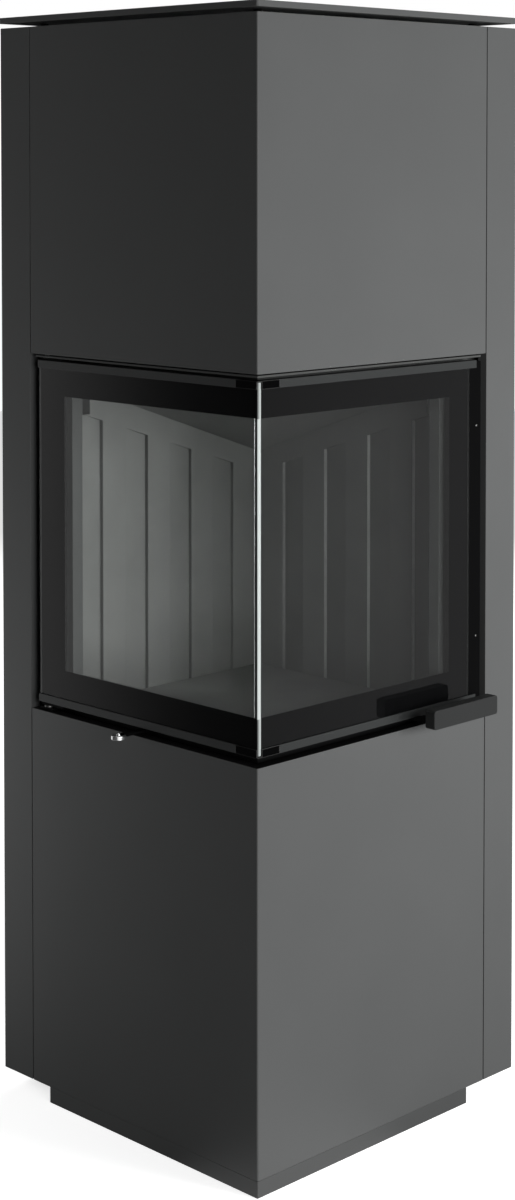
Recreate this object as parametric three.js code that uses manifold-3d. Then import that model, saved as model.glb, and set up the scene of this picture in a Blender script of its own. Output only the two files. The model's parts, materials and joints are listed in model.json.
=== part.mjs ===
// A free-standing corner fireplace with a door glazed round the corner.
// Millimetres, +Z up. The origin is the centre of the casing's square footprint, on the floor.
// The glazed sides are the front, facing -Y, and the flank, facing +X. They meet at the near corner.

import * as THREE from 'three';
import { mergeVertices } from 'three/addons/utils/BufferGeometryUtils.js';
import Module from 'manifold-3d';

const wasm = await Module();
wasm.setup();

// General
const seat = 0.3; // gap between pieces that bear on each other
const tubeSteps = 32; // facets round a tube
const pinSteps = 24; // facets round a pin, its bore or a roller
const bendSteps = 3; // facets round a sheet's bend
const bendInside = 0.8; // inside radius of a sheet's bend

// Casing, folded from sheet
const casingSide = 508;
const sheet = 2;
const returnWidth = 63.5; // side casing's return on each glazed side
const seamGap = 2;
const seamFlange = 15;
const plinthHeight = 21.5;
const plinthInset = 101; // from the two plain sides
const lowerCasingHeight = 523.2;
const doorZoneHeight = 492.5;
const upperCasingHeight = 448;
const edgeFlange = 15; // level flange round a front casing's edge at the door
const baseThickness = 3;
const baseRim = 22;
const ventLength = 70;
const ventWidth = 10;
const ventPitch = 100;
const ventCount = 4;
const ventInset = 38; // middle of a vent row, from a plain side

// Top plate, its pads and the lid under it
const topPlateThickness = 8;
const topPlateOverhang = 1;
const topPlateCorner = 2;
const topGap = 6.5;
const lidDrop = 5.5; // lid's top, below the casing's top edge
const lidRim = 16;
const padDiameter = 11;
const padInset = 44;

// Flue
const flueDiameter = 150;
const flueWall = 3;
const flueClearance = 5; // round the pipe in the lid and the top plate
const flueFlangeWidth = 20;
const flueFlangeThickness = 3;
const flueRimDrop = 7.5; // pipe's rim, below the casing's top edge

// Door, from its glass inward
const glassSetback = 3.5;
const glassThickness = 6;
const hingeSideGap = 15.2; // seam to the front pane
const latchSideGap = 31.7; // seam to the flank pane
const stripThickness = 1.7;
const stripHeight = 10.5;
const stripLeg = 1.5;
const stripOverrun = 12.2; // flank strips past their pane, over the latch cover
const cornerReach = 41;
const channelWall = 2.5;
const channelWidth = 24;
const channelDepth = 14.2;
const topRailInset = 19;
const bottomRailInset = 15;
const hingeStileInset = 13.3;
const latchStileInset = 8.8;
const latchCoverWidth = 23.4;
const ropeDiameter = 14;
const ropeSteps = 8;

// Handle
const handleLength = 131;
const handleHeight = 25.5;
const handleThickness = 16.5;
const handleStandoff = 32;
const handleDrop = 6; // below the door's edge
const handleEndInset = 0.8; // from the flank pane's outer edge
const handleCorner = 4;
const handleBevel = 1.2;
const bracketWidth = 16;
const bracketInset = 14;
const bracketSheet = 3.2;
const bracketLug = 19; // bracket's turned-up end on the bar

// Hinge
const hingeInset = 12.3; // axis, from the front pane's outer edge
const hingeDepth = 10; // axis, behind the casing's face
const hingePinDiameter = 9;
const hingePlay = 0.4;
const hingeCollarDiameter = 14;
const leafNose = 5.5; // leaf's front edge, in front of the axis
const leafEar = 9; // leaf, past the axis
const leafLength = 35;
const lowerLeaf = 4.2;
const lowerCollar = 2.4;
const upperLeaf = 2.5;
const upperCollar = 0.6;
const bearingGap = 1.5; // bearing plate, above the lower casing
const bearingThickness = 3;
const bearingWidth = 26;
const bearingFoot = 24;

// Firebox
const frontPlate = 3;
const shellWall = 4;
const shellInset = 38.7; // shell's outer face, from each plain side
const lipGap = 2; // upper casing to the front plate's outer lip
const lipThickness = 2.5;
const lipSetback = 2;
const lipEndGap = 10; // from the seam
const headroom = 197.5; // shell's top, above the upper casing's lower edge
const windowFrontSide = 125; // window's outer edge on the front, from the plain side
const windowFlankSide = 135; // and on the flank
const windowRise = 49; // above the lower casing
const windowDrop = 52.5; // below the upper casing
const windowLip = 15;
const windowLipWall = 3;

// Firebricks
const liningThickness = 25;
const liningFront = 46; // front edge, from the casing's face
const notchReach = 107; // the upper front corner is cut away to here
const notchDrop = 92.5; // below the upper casing
const recessWidth = 43;
const recessDepth = 6;
const recessPitch = 86;
const recessCount = 4;
const recessFirstLeft = 131;
const recessFirstRight = 134;
const recessDrop = 103.6; // first recess's top, below the upper casing
const recessSlope = 0.327;
const hearthThickness = 30;
const hearthDrop = 7; // hearth's surface, below the lower casing's top
const baffleThickness = 25;
const baffleDrop = 173.7; // baffle's lowest corner, below the upper casing
const baffleSlope = 0.35;
const baffleCut = 260; // the near corner is cut off where its two distances sum to this
const deflectorSize = 300;
const deflectorDrop = 42;
const deflectorSheet = 3;

// Supports and shields
const angleWidth = 30;
const angleWall = 3;
const legInset = 6; // from the shell's edge
const postInset = 56; // from the casing's face
const shieldSheet = 1.5;
const shieldStandoff = 14;
const shieldWidth = 330;
const shieldStart = 70; // from the casing's glazed face
const shieldRise = 14; // above the shell's underside

// Air control
const airBoxDepth = 380;
const airBoxHeight = 120;
const airBoxWall = 2;
const sliderSetback = 20;
const sliderThickness = 3;
const sliderHeight = 42;
const sliderDrop = 10; // slider's top edge, below the air box's top
const sliderTravel = 25; // each way
const sliderMargin = 10;
const portWidth = 30;
const portHeight = 22;
const portPitch = 80;
const portCount = 3;
const guideSheet = 2;
const guideLip = 6;
const clipStart = 60; // upper clips, from the arm's middle
const clipLength = 20;
const armWidth = 12;
const armGap = 2; // above the lower casing
const armSide = 233; // from the near corner
const knobDiameter = 20.5;
const knobHeight = 6.6;
const knobStandoff = 25;
const knobDrop = 2.7; // knob's underside, below the arm's
const knobEdge = 1.1;
const spigotDiameter = 100;
const spigotWall = 2;
const spigotClearance = 3;
const spigotFlangeWidth = 8;
const spigotFlangeThickness = 2;
const spigotSetback = 1; // rim, inside the casing's face

// Roller catch
const catchRise = 240; // above the door's lower edge
const rollerDiameter = 10;
const rollerHeight = 14;
const rollerPinDiameter = 4;
const rollerPlay = 0.4;
const rollerDepth = 19; // axis, behind the casing's face
const catchSheet = 2.5;
const catchWidth = 12;
const strikerSheet = 2;
const strikerHeight = 20;

// Levels that follow
const half = casingSide / 2;
const casingBottom = plinthHeight + seat;
const lowerCasingTop = casingBottom + lowerCasingHeight;
const upperCasingBottom = lowerCasingTop + doorZoneHeight;
const casingTop = upperCasingBottom + upperCasingHeight;
const topPlateBottom = casingTop + topGap;
const lidTop = casingTop - lidDrop;
const bearingTop = lowerCasingTop + bearingGap + bearingThickness;
const lowerLeafBottom = bearingTop + seat + lowerCollar + seat;
const doorBottom = lowerLeafBottom + lowerLeaf + seat;
const lipTop = upperCasingBottom - lipGap;
const lipBottom = lipTop - lipThickness;
const upperLeafTop = lipBottom - seat - upperCollar - seat;
const doorTop = upperLeafTop - upperLeaf - seat;
const glassBottom = doorBottom + stripLeg + seat;
const glassTop = doorTop - stripLeg - seat;
const topRail = { low: doorTop - topRailInset - channelWidth, high: doorTop - topRailInset };
const bottomRail = { low: doorBottom + bottomRailInset, high: doorBottom + bottomRailInset + channelWidth };
const hearthTop = lowerCasingTop - hearthDrop;
const shellFloor = hearthTop - hearthThickness - seat;
const shellBottom = shellFloor - shellWall;
const shellTop = upperCasingBottom + headroom;
const shellCeiling = shellTop - shellWall;
const windowBottom = lowerCasingTop + windowRise;
const windowTop = upperCasingBottom - windowDrop;
const flueRim = casingTop - flueRimDrop;
const armTop = lowerCasingTop + armGap + sliderThickness;
const armBottom = armTop - sliderThickness;
const airBoxTop = shellBottom - seat;
const airBoxBottom = airBoxTop - airBoxHeight;
const sliderTop = airBoxTop - sliderDrop;
const sliderBottom = sliderTop - sliderHeight;

// Distances that follow, inward from a glazed face or along it from the near corner
const seamEnd = casingSide - returnWidth;
const frontCasingEnd = seamEnd - seamGap;
const insideFace = sheet + seat;
const stripFront = glassSetback - seat - stripThickness;
const stripBack = stripFront + stripThickness;
const glassBack = glassSetback + glassThickness;
const webFront = glassBack + seat;
const webBack = webFront + channelWall;
const channelBack = webFront + channelDepth;
const sealPlane = webBack + seat + ropeDiameter + seat;
const frontPlateBack = sealPlane + frontPlate;
const shellFront = frontPlateBack + seat;
const shellBack = casingSide - shellInset;
const liningBack = shellBack - shellWall - seat;
const liningFace = liningBack - liningThickness;
const frontPaneEnd = seamEnd - hingeSideGap;
const flankPaneEnd = seamEnd - latchSideGap;
const stileWithin = (far) => ({ near: far - channelWidth, far });
const hingeStile = stileWithin(frontPaneEnd - hingeStileInset);
const latchStile = stileWithin(flankPaneEnd - latchStileInset);
const latchCoverEnd = flankPaneEnd + seat + latchCoverWidth;
const windowFrontEnd = casingSide - windowFrontSide;
const windowFlankEnd = casingSide - windowFlankSide;
const ropeDepth = webBack + seat + ropeDiameter / 2;
const airBoxFront = sliderSetback + sliderThickness + seat;
const sliderHalfWidth = ((portCount - 1) * portPitch + portWidth) / 2 + sliderTravel + sliderMargin;
const airBoxHalfWidth = sliderHalfWidth + sliderTravel + sliderMargin;
const strikerFace = latchStile.far + seat + strikerSheet;

// Places that follow
const hingeX = half - (frontPaneEnd - hingeInset);
const hingeY = hingeDepth - half;
const armX = half - armSide;
const knobY = -half - knobStandoff;
const airBoxRearY = airBoxFront - half + airBoxDepth;
const airBoxMiddle = (airBoxTop + airBoxBottom) / 2;
const catchMiddle = doorBottom + catchRise;
const rollerX = half - rollerDepth;
const rollerY = strikerFace + seat + rollerDiameter / 2 - half;

const finishes = {
  casing: { color: 0x6a6c6c, roughness: 0.55, metalness: 0.35 },
  frame: { color: 0x0b0b0c, roughness: 0.6, metalness: 0.3 },
  inner: { color: 0x303234, roughness: 0.7, metalness: 0.4 },
  brick: { color: 0x8c8a84, roughness: 0.95, metalness: 0 },
  glass: { color: 0xcfd6d6, roughness: 0.05, metalness: 0, transparent: true, opacity: 0.25 },
  chrome: { color: 0xd8dadb, roughness: 0.15, metalness: 1 },
  steel: { color: 0x8b8d8f, roughness: 0.4, metalness: 0.9 },
  rope: { color: 0x4a4845, roughness: 1, metalness: 0 },
  strip: { color: 0x3a3c3d, roughness: 0.5, metalness: 0.4 },
};

// ---------- Outlines ----------

// A point of the plan: u inward from the front's face, v inward from the flank's face.
const at = (u, v) => new THREE.Vector2(half - v, u - half);

const rectangle = (x0, y0, x1, y1) => [
  new THREE.Vector2(x0, y0),
  new THREE.Vector2(x1, y0),
  new THREE.Vector2(x1, y1),
  new THREE.Vector2(x0, y1),
];

const planRectangle = (u0, v0, u1, v1) => [at(u0, v0), at(u1, v0), at(u1, v1), at(u0, v1)];

// A square in plan, with its corners cut to clear the inside of a bend.
function planSquare(low, high, corner = bendInside) {
  const ends = [
    [low, low + corner],
    [low, high - corner],
    [low + corner, high],
    [high - corner, high],
    [high, high - corner],
    [high, low + corner],
    [high - corner, low],
    [low + corner, low],
  ];
  return ends.map(([u, v]) => at(u, v));
}

// A band that follows both glazed faces between two depths, to an end on each.
const cornerBand = (d0, d1, frontEnd, flankEnd) => [
  at(d0, frontEnd),
  at(d0, d0),
  at(flankEnd, d0),
  at(flankEnd, d1),
  at(d1, d1),
  at(d1, frontEnd),
];

const circle = (x, y, radius, steps) =>
  Array.from({ length: steps }, (_, i) => {
    const angle = (2 * Math.PI * i) / steps;
    return new THREE.Vector2(x + radius * Math.cos(angle), y + radius * Math.sin(angle));
  });

const leftOf = (direction) => new THREE.Vector2(-direction.y, direction.x);

// A folded sheet's outline: path is one surface, and the other lies a thickness to its left.
function folded(path, thickness) {
  const near = [];
  const far = [];
  path.forEach((point, i) => {
    const into = i > 0 ? point.clone().sub(path[i - 1]).normalize() : null;
    const out = i < path.length - 1 ? path[i + 1].clone().sub(point).normalize() : null;
    if (!into || !out) {
      near.push(point.clone());
      far.push(point.clone().addScaledVector(leftOf(into ?? out), thickness));
      return;
    }
    const turn = Math.sign(into.cross(out));
    const angle = Math.acos(into.dot(out));
    const nearRadius = turn > 0 ? bendInside + thickness : bendInside;
    const farRadius = turn > 0 ? bendInside : bendInside + thickness;
    const centre = point.clone().addScaledVector(into, -nearRadius * Math.tan(angle / 2));
    centre.addScaledVector(leftOf(into), nearRadius * turn);
    for (let k = 0; k <= bendSteps; k += 1) {
      const spoke = leftOf(into).multiplyScalar(-turn);
      spoke.rotateAround(new THREE.Vector2(), (turn * angle * k) / bendSteps);
      near.push(centre.clone().addScaledVector(spoke, nearRadius));
      far.push(centre.clone().addScaledVector(spoke, farRadius));
    }
  });
  return [...near, ...far.reverse()];
}

// ---------- Solids ----------

const extrude = (points, depth) =>
  new THREE.ExtrudeGeometry(new THREE.Shape(points), { depth, bevelEnabled: false });

// An outline in plan, raised from z0 to z1.
const prism = (points, z0, z1) => extrude(points, z1 - z0).translate(0, 0, z0);

// Turns what was drawn in XY and raised along Z, so that it is drawn in YZ and runs along X.
function towardX(geometry) {
  const basis = new THREE.Matrix4().makeBasis(
    new THREE.Vector3(0, 1, 0),
    new THREE.Vector3(0, 0, 1),
    new THREE.Vector3(1, 0, 0),
  );
  return geometry.applyMatrix4(basis);
}

// A profile of (y, z) points, run along X.
const alongX = (points, x0, x1) => towardX(extrude(points, x1 - x0)).translate(x0, 0, 0);

// A profile of (x, z) points, run along Y.
function alongY(points, y0, y1) {
  const basis = new THREE.Matrix4().makeBasis(
    new THREE.Vector3(1, 0, 0),
    new THREE.Vector3(0, 0, 1),
    new THREE.Vector3(0, -1, 0),
  );
  return extrude(points, y1 - y0).applyMatrix4(basis).translate(0, y1, 0);
}

// A profile of [radius, height] pairs, turned about the Z axis.
function turned(profile, steps) {
  const points = profile.map(([radius, height]) => new THREE.Vector2(radius, height));
  return new THREE.LatheGeometry(points, steps).rotateX(Math.PI / 2);
}

function toSolid(geometry) {
  const bare = geometry.clone();
  bare.deleteAttribute('normal');
  bare.deleteAttribute('uv');
  const merged = mergeVertices(bare);
  const mesh = new wasm.Mesh({
    numProp: 3,
    vertProperties: new Float32Array(merged.attributes.position.array),
    triVerts: new Uint32Array(merged.index.array),
  });
  return new wasm.Manifold(mesh);
}

function toGeometry(solid) {
  const mesh = solid.getMesh();
  const geometry = new THREE.BufferGeometry();
  geometry.setAttribute('position', new THREE.BufferAttribute(mesh.vertProperties, 3));
  geometry.setIndex(new THREE.BufferAttribute(mesh.triVerts, 1));
  return geometry;
}

const join = (...geometries) =>
  toGeometry(geometries.map(toSolid).reduce((whole, solid) => whole.add(solid)));

const cut = (geometry, ...tools) =>
  toGeometry(tools.map(toSolid).reduce((rest, tool) => rest.subtract(tool), toSolid(geometry)));

const common = (one, other) => toGeometry(toSolid(one).intersect(toSolid(other)));

function piece(name, finish, geometry) {
  const mesh = new THREE.Mesh(geometry, new THREE.MeshStandardMaterial(finishes[finish]));
  mesh.name = name;
  return mesh;
}

function group(...children) {
  const holder = new THREE.Group();
  holder.add(...children);
  return holder;
}

// ---------- Plinth, base and supports ----------

// An open tray under the two glazed faces, set back from the two plain sides.
function plinth() {
  const side = casingSide - plinthInset;
  const outside = prism(planRectangle(0, 0, side, side), 0, plinthHeight);
  const inside = prism(planRectangle(sheet, sheet, side - sheet, side - sheet), sheet, plinthHeight + sheet);
  return piece('plinth', 'casing', cut(outside, inside));
}

// Slots along the plain sides that let room air in at the bottom and out under the top plate.
function ventTools(z0, z1) {
  const near = casingSide - ventInset - ventWidth / 2;
  const far = near + ventWidth;
  const tools = [];
  for (let i = 0; i < ventCount; i += 1) {
    const middle = half + (i - (ventCount - 1) / 2) * ventPitch;
    const start = middle - ventLength / 2;
    const end = middle + ventLength / 2;
    tools.push(prism(planRectangle(start, near, end, far), z0, z1));
    tools.push(prism(planRectangle(near, start, far, end), z0, z1));
  }
  return tools;
}

// The tray that carries the supports and locates the casings' lower edges.
function basePlate() {
  const inner = insideFace + baseThickness;
  const top = casingBottom + baseRim;
  const floor = casingBottom + baseThickness;
  const outside = prism(planSquare(insideFace, casingSide - insideFace), casingBottom, top);
  const inside = prism(planSquare(inner, casingSide - inner), floor, top + baseThickness);
  const slots = ventTools(casingBottom - baseThickness, floor + baseThickness);
  return piece('base_plate', 'inner', cut(outside, inside, ...slots));
}

// Four uprights of angle section about a centre, heel outward, each turned a quarter from the last.
function uprights(name, centre, reach, z0, z1) {
  const inner = reach - angleWall;
  const outer = reach - angleWidth;
  const outline = [
    new THREE.Vector2(reach, reach),
    new THREE.Vector2(outer, reach),
    new THREE.Vector2(outer, inner),
    new THREE.Vector2(inner, inner),
    new THREE.Vector2(inner, outer),
    new THREE.Vector2(reach, outer),
  ];
  const quarters = [0, 1, 2, 3].map((quarter) => {
    const upright = piece(`${name}_${quarter + 1}`, 'inner', extrude(outline, z1 - z0));
    upright.rotation.z = (quarter * Math.PI) / 2;
    return upright;
  });
  const set = group(...quarters);
  set.position.set(centre.x, centre.y, z0);
  return set;
}

function supportLegs() {
  const middle = (shellFront + shellBack) / 2;
  const reach = (shellBack - shellFront) / 2 - legInset;
  const foot = casingBottom + baseThickness + seat;
  return uprights('support_leg', at(middle, middle), reach, foot, shellBottom - seat);
}

const lidPosts = () =>
  uprights('lid_post', new THREE.Vector2(), half - postInset, shellTop + seat, lidTop - sheet - seat);

// ---------- Casing ----------

// Flanges turned inward at a seam, kept clear of the base's and the lid's rims.
function seamFlangeBar(u0, v0, u1, v1, z0, z1) {
  const low = Math.max(z0, casingBottom + baseRim + seat);
  const high = Math.min(z1, lidTop - lidRim - seat);
  return prism(planRectangle(u0, v0, u1, v1), low, high);
}

const sideFlange = (u0, v0, u1, v1) => seamFlangeBar(u0, v0, u1, v1, casingBottom, casingTop);

function sideCasingLeft() {
  const rear = casingSide - insideFace;
  const path = [at(rear, casingSide), at(0, casingSide), at(0, seamEnd)];
  const panel = prism(folded(path, sheet), casingBottom, casingTop);
  const seamBar = sideFlange(sheet / 2, seamEnd, seamFlange, seamEnd + sheet);
  const rearBar = sideFlange(rear - sheet, casingSide - seamFlange, rear, casingSide - sheet / 2);
  return piece('side_casing_left', 'casing', join(panel, seamBar, rearBar));
}

function sideCasingRight() {
  const path = [at(seamEnd, 0), at(casingSide, 0), at(casingSide, casingSide)];
  const panel = prism(folded(path, sheet), casingBottom, casingTop);
  const seamBar = sideFlange(seamEnd, sheet / 2, seamEnd + sheet, seamFlange);
  const opening = circle(armX, airBoxMiddle, spigotDiameter / 2 + spigotClearance, tubeSteps);
  const hole = alongY(opening, half - 2 * sheet, half + sheet);
  return piece('side_casing_right', 'casing', cut(join(panel, seamBar), hole));
}

// A front casing: one sheet folded round the near corner, with a level flange at the door.
function frontCasing(name, z0, z1, flangeLow) {
  const path = [at(0, frontCasingEnd), at(0, 0), at(frontCasingEnd, 0)];
  const panel = prism(folded(path, sheet), z0, z1);
  const flangeEnd = frontCasingEnd - sheet / 2;
  const flange = prism(cornerBand(sheet / 2, edgeFlange, flangeEnd, flangeEnd), flangeLow, flangeLow + sheet);
  const inner = frontCasingEnd - sheet;
  const frontBar = seamFlangeBar(sheet / 2, inner, seamFlange, frontCasingEnd, z0, z1);
  const flankBar = seamFlangeBar(inner, sheet / 2, frontCasingEnd, seamFlange, z0, z1);
  return piece(name, 'casing', join(panel, flange, frontBar, flankBar));
}

const lowerFrontCasing = () =>
  frontCasing('lower_front_casing', casingBottom, lowerCasingTop, lowerCasingTop - sheet);

const upperFrontCasing = () =>
  frontCasing('upper_front_casing', upperCasingBottom, casingTop, upperCasingBottom);

function heatShield(name, mirrored) {
  const foot = casingSide - insideFace;
  const face = foot - shieldStandoff;
  const end = shieldStart + shieldWidth;
  const corners = [
    [shieldStart, foot],
    [shieldStart, face],
    [end, face],
    [end, foot],
  ];
  const path = corners.map(([u, v]) => (mirrored ? at(v, u) : at(u, v)));
  const section = folded(mirrored ? path.reverse() : path, shieldSheet);
  return piece(name, 'inner', prism(section, shellBottom + shieldRise, shellTop));
}

// ---------- Top ----------

const fluePassage = (z0, z1) =>
  prism(circle(0, 0, flueDiameter / 2 + flueClearance, tubeSteps), z0, z1);

function casingLid() {
  const inner = insideFace + sheet;
  const outside = prism(planSquare(insideFace, casingSide - insideFace), lidTop - lidRim, lidTop);
  const inside = prism(planSquare(inner, casingSide - inner), lidTop - lidRim - sheet, lidTop - sheet);
  const slots = ventTools(lidTop - 2 * sheet, lidTop + sheet);
  const hole = fluePassage(lidTop - 2 * sheet, lidTop + sheet);
  return piece('casing_lid', 'inner', cut(outside, inside, hole, ...slots));
}

function topPads() {
  const reach = half - padInset;
  const height = topPlateBottom - lidTop - 2 * seat;
  const corners = [
    [-1, -1],
    [1, -1],
    [1, 1],
    [-1, 1],
  ];
  return corners.map(([x, y], i) => {
    const disc = extrude(circle(0, 0, padDiameter / 2, pinSteps), height);
    const pad = piece(`top_pad_${i + 1}`, 'frame', disc);
    pad.position.set(x * reach, y * reach, lidTop + seat);
    return pad;
  });
}

function topPlate() {
  const outline = planSquare(-topPlateOverhang, casingSide + topPlateOverhang, topPlateCorner);
  const plate = prism(outline, topPlateBottom, topPlateBottom + topPlateThickness);
  const hole = fluePassage(topPlateBottom - topPlateThickness, topPlateBottom + 2 * topPlateThickness);
  return piece('top_plate', 'casing', cut(plate, hole));
}

function flueCollar() {
  const outer = flueDiameter / 2;
  const inner = outer - flueWall;
  const foot = shellTop + seat;
  const profile = [
    [inner, foot],
    [outer + flueFlangeWidth, foot],
    [outer + flueFlangeWidth, foot + flueFlangeThickness],
    [outer, foot + flueFlangeThickness],
    [outer, flueRim],
    [inner, flueRim],
    [inner, foot],
  ];
  return piece('flue_collar', 'inner', turned(profile, tubeSteps));
}

// ---------- Firebox ----------

// The welded shell: two walls, a floor and a ceiling, open on the glazed sides.
function fireboxShell() {
  const inner = shellBack - shellWall;
  const square = planRectangle(shellFront, shellFront, shellBack, shellBack);
  const space = planRectangle(shellFront - shellWall, shellFront - shellWall, inner, inner);
  const block = prism(square, shellBottom, shellTop);
  const hollow = prism(space, shellFloor, shellCeiling);
  const outlet = circle(0, 0, flueDiameter / 2 - flueWall, tubeSteps);
  const hole = prism(outlet, shellCeiling - shellWall, shellTop + shellWall);
  return piece('firebox_shell', 'inner', cut(block, hollow, hole));
}

const hingeBore = (z0, z1) =>
  prism(circle(hingeX, hingeY, hingePinDiameter / 2 + hingePlay, pinSteps), z0, z1);

// The plate that the door seals on: a window round the corner with turned-in lips,
// and above the door an outer lip that holds the upper hinge pin.
function fireboxFront() {
  const plate = prism(cornerBand(sealPlane, frontPlateBack, shellBack, shellBack), shellBottom, shellTop);
  const window = prism(
    cornerBand(0, frontPlateBack + windowLip, windowFrontEnd, windowFlankEnd),
    windowBottom,
    windowTop,
  );
  const lipBack = frontPlateBack + windowLip;
  const lipStart = sealPlane + frontPlate / 2;
  const frontLip = windowFrontEnd + windowLipWall;
  const flankLip = windowFlankEnd + windowLipWall;
  const low = windowBottom - windowLipWall;
  const high = windowTop + windowLipWall;
  const lips = [
    prism(cornerBand(lipStart, lipBack, frontLip, flankLip), low, windowBottom),
    prism(cornerBand(lipStart, lipBack, frontLip, flankLip), windowTop, high),
    prism(planRectangle(lipStart, windowFrontEnd, lipBack, frontLip), low, high),
    prism(planRectangle(windowFlankEnd, lipStart, flankLip, lipBack), low, high),
  ];
  const outerEnd = seamEnd - lipEndGap;
  const outerLip = prism(cornerBand(lipSetback, lipStart, outerEnd, outerEnd), lipBottom, lipTop);
  const bore = hingeBore(lipBottom - seat, lipTop + seat);
  return piece('firebox_front', 'frame', cut(join(cut(plate, window), ...lips, outerLip), bore));
}

// What lies above the baffle's underside, or above a plane parallel to it, over a plan outline.
// Its height rises with x and falls with y, so the near corner is the highest.
function overBaffle(outline, lift, height) {
  const rear = upperCasingBottom - baffleDrop;
  const middle = rear + baffleSlope * 2 * (liningFace - half);
  const lean = new THREE.Matrix4().set(1, 0, 0, 0, 0, 1, 0, 0, baffleSlope, -baffleSlope, 1, 0, 0, 0, 0, 1);
  return prism(outline, middle + lift, middle + lift + height).applyMatrix4(lean);
}

// One firebrick wall with its row of tapered recesses. place maps (along, depth) to the plan.
function lining(name, place, end, recessFirst) {
  const bottom = shellFloor + seat;
  const top = upperCasingBottom;
  const outline = (a0, d0, a1, d1) => [place(a0, d0), place(a1, d0), place(a1, d1), place(a0, d1)];
  const slab = prism(outline(liningFront, liningFace, end, liningBack), bottom, top);
  const notch = prism(
    outline(0, 0, notchReach, casingSide),
    upperCasingBottom - notchDrop,
    upperCasingBottom + headroom,
  );
  const above = overBaffle(planRectangle(0, 0, casingSide, casingSide), -seat, shellTop);
  const tools = [notch, above];
  for (let i = 0; i < recessCount; i += 1) {
    const deepTop = upperCasingBottom - recessDrop - recessSlope * i * recessPitch;
    tools.push(recess(place, recessFirst + i * recessPitch, bottom - recessDepth, deepTop));
  }
  return piece(name, 'brick', cut(slab, ...tools));
}

// A tapered recess in a lining's face: it deepens away from the glazed face, to the place called
// deep, and its upper edge falls the same way, to deepTop.
function recess(place, deep, bottom, deepTop) {
  const start = deep - recessWidth;
  const startTop = deepTop + recessSlope * recessWidth;
  const wedge = [
    place(start, liningFace),
    place(deep, liningFace + recessDepth),
    place(deep, liningFace - recessDepth),
    place(start, liningFace - recessDepth),
  ];
  const face = [
    new THREE.Vector2(start, 0),
    new THREE.Vector2(deep, 0),
    new THREE.Vector2(deep, deepTop),
    new THREE.Vector2(start, startTop),
  ];
  const origin = place(0, 0);
  const along = place(1, 0).sub(origin);
  const basis = new THREE.Matrix4().makeBasis(
    new THREE.Vector3(along.x, along.y, 0),
    new THREE.Vector3(0, 0, 1),
    new THREE.Vector3(along.y, -along.x, 0),
  );
  const width = 2 * casingSide;
  const below = extrude(face, width)
    .translate(0, 0, -width / 2)
    .applyMatrix4(basis)
    .translate(origin.x, origin.y, 0);
  return common(prism(wedge, bottom, startTop), below);
}

const liningLeft = () =>
  lining('lining_left', (along, depth) => at(along, depth), liningBack, recessFirstLeft);

const liningRight = () =>
  lining('lining_right', (along, depth) => at(depth, along), liningFace - seat, recessFirstRight);

function hearthSlab() {
  const far = liningFace - seat;
  const outline = planRectangle(liningFront, liningFront, far, far);
  return piece('hearth_slab', 'brick', prism(outline, shellFloor + seat, hearthTop));
}

// The sloping slab that lies on the linings and sends the gases over its near corner.
function baffleSlab() {
  const start = baffleCut - liningFront;
  const outline = [
    at(liningFront, start),
    at(liningFront, liningBack),
    at(liningBack, liningBack),
    at(liningBack, liningFront),
    at(start, liningFront),
  ];
  return piece('baffle_slab', 'brick', overBaffle(outline, 0, baffleThickness));
}

// A plate hung under the flue by its two turned-up sides.
function deflectorPlate() {
  const side = deflectorSize / 2;
  const top = shellCeiling - seat;
  const low = shellCeiling - deflectorDrop;
  const path = [
    new THREE.Vector2(-side, top),
    new THREE.Vector2(-side, low),
    new THREE.Vector2(side, low),
    new THREE.Vector2(side, top),
  ];
  return piece('deflector_plate', 'inner', alongY(folded(path, deflectorSheet), -side, side));
}

// ---------- Air control ----------

const portCentres = () =>
  Array.from({ length: portCount }, (_, i) => armX + (i - (portCount - 1) / 2) * portPitch);

function portOutline(x) {
  const middle = (sliderTop + sliderBottom) / 2;
  const side = portWidth / 2;
  return rectangle(x - side, middle - portHeight / 2, x + side, middle + portHeight / 2);
}

// A guide in (y, z): it runs out from the air box past the slider's edge and turns over its face.
// sense is 1 for the guide under the slider and -1 for the clips over it.
function guideProfile(edge, sense) {
  const back = airBoxFront + airBoxWall / 2 - half;
  const face = sliderSetback - seat - half;
  const front = face - guideSheet;
  const near = edge - sense * seat;
  const far = near - sense * guideSheet;
  const over = edge + sense * guideLip;
  return [
    new THREE.Vector2(back, near),
    new THREE.Vector2(face, near),
    new THREE.Vector2(face, over),
    new THREE.Vector2(front, over),
    new THREE.Vector2(front, far),
    new THREE.Vector2(back, far),
  ];
}

function airBox() {
  const left = armX - airBoxHalfWidth;
  const right = armX + airBoxHalfWidth;
  const front = airBoxFront - half;
  const wall = airBoxWall;
  const block = prism(rectangle(left, front, right, airBoxRearY), airBoxBottom, airBoxTop);
  const hollow = prism(
    rectangle(left + wall, front + wall, right - wall, airBoxRearY - wall),
    airBoxBottom + wall,
    airBoxTop - wall,
  );
  const ports = portCentres().map((x) => alongY(portOutline(x), front - wall, front + 2 * wall));
  const inlet = alongY(
    circle(armX, airBoxMiddle, spigotDiameter / 2 - spigotWall, tubeSteps),
    airBoxRearY - 2 * wall,
    airBoxRearY + wall,
  );
  const box = cut(block, hollow, ...ports, inlet);
  const rail = alongX(guideProfile(sliderBottom, 1), left, right);
  const clips = [-clipStart - clipLength, clipStart].map((start) =>
    alongX(guideProfile(sliderTop, -1), armX + start, armX + start + clipLength),
  );
  return piece('air_box', 'inner', join(box, rail, ...clips));
}

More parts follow.
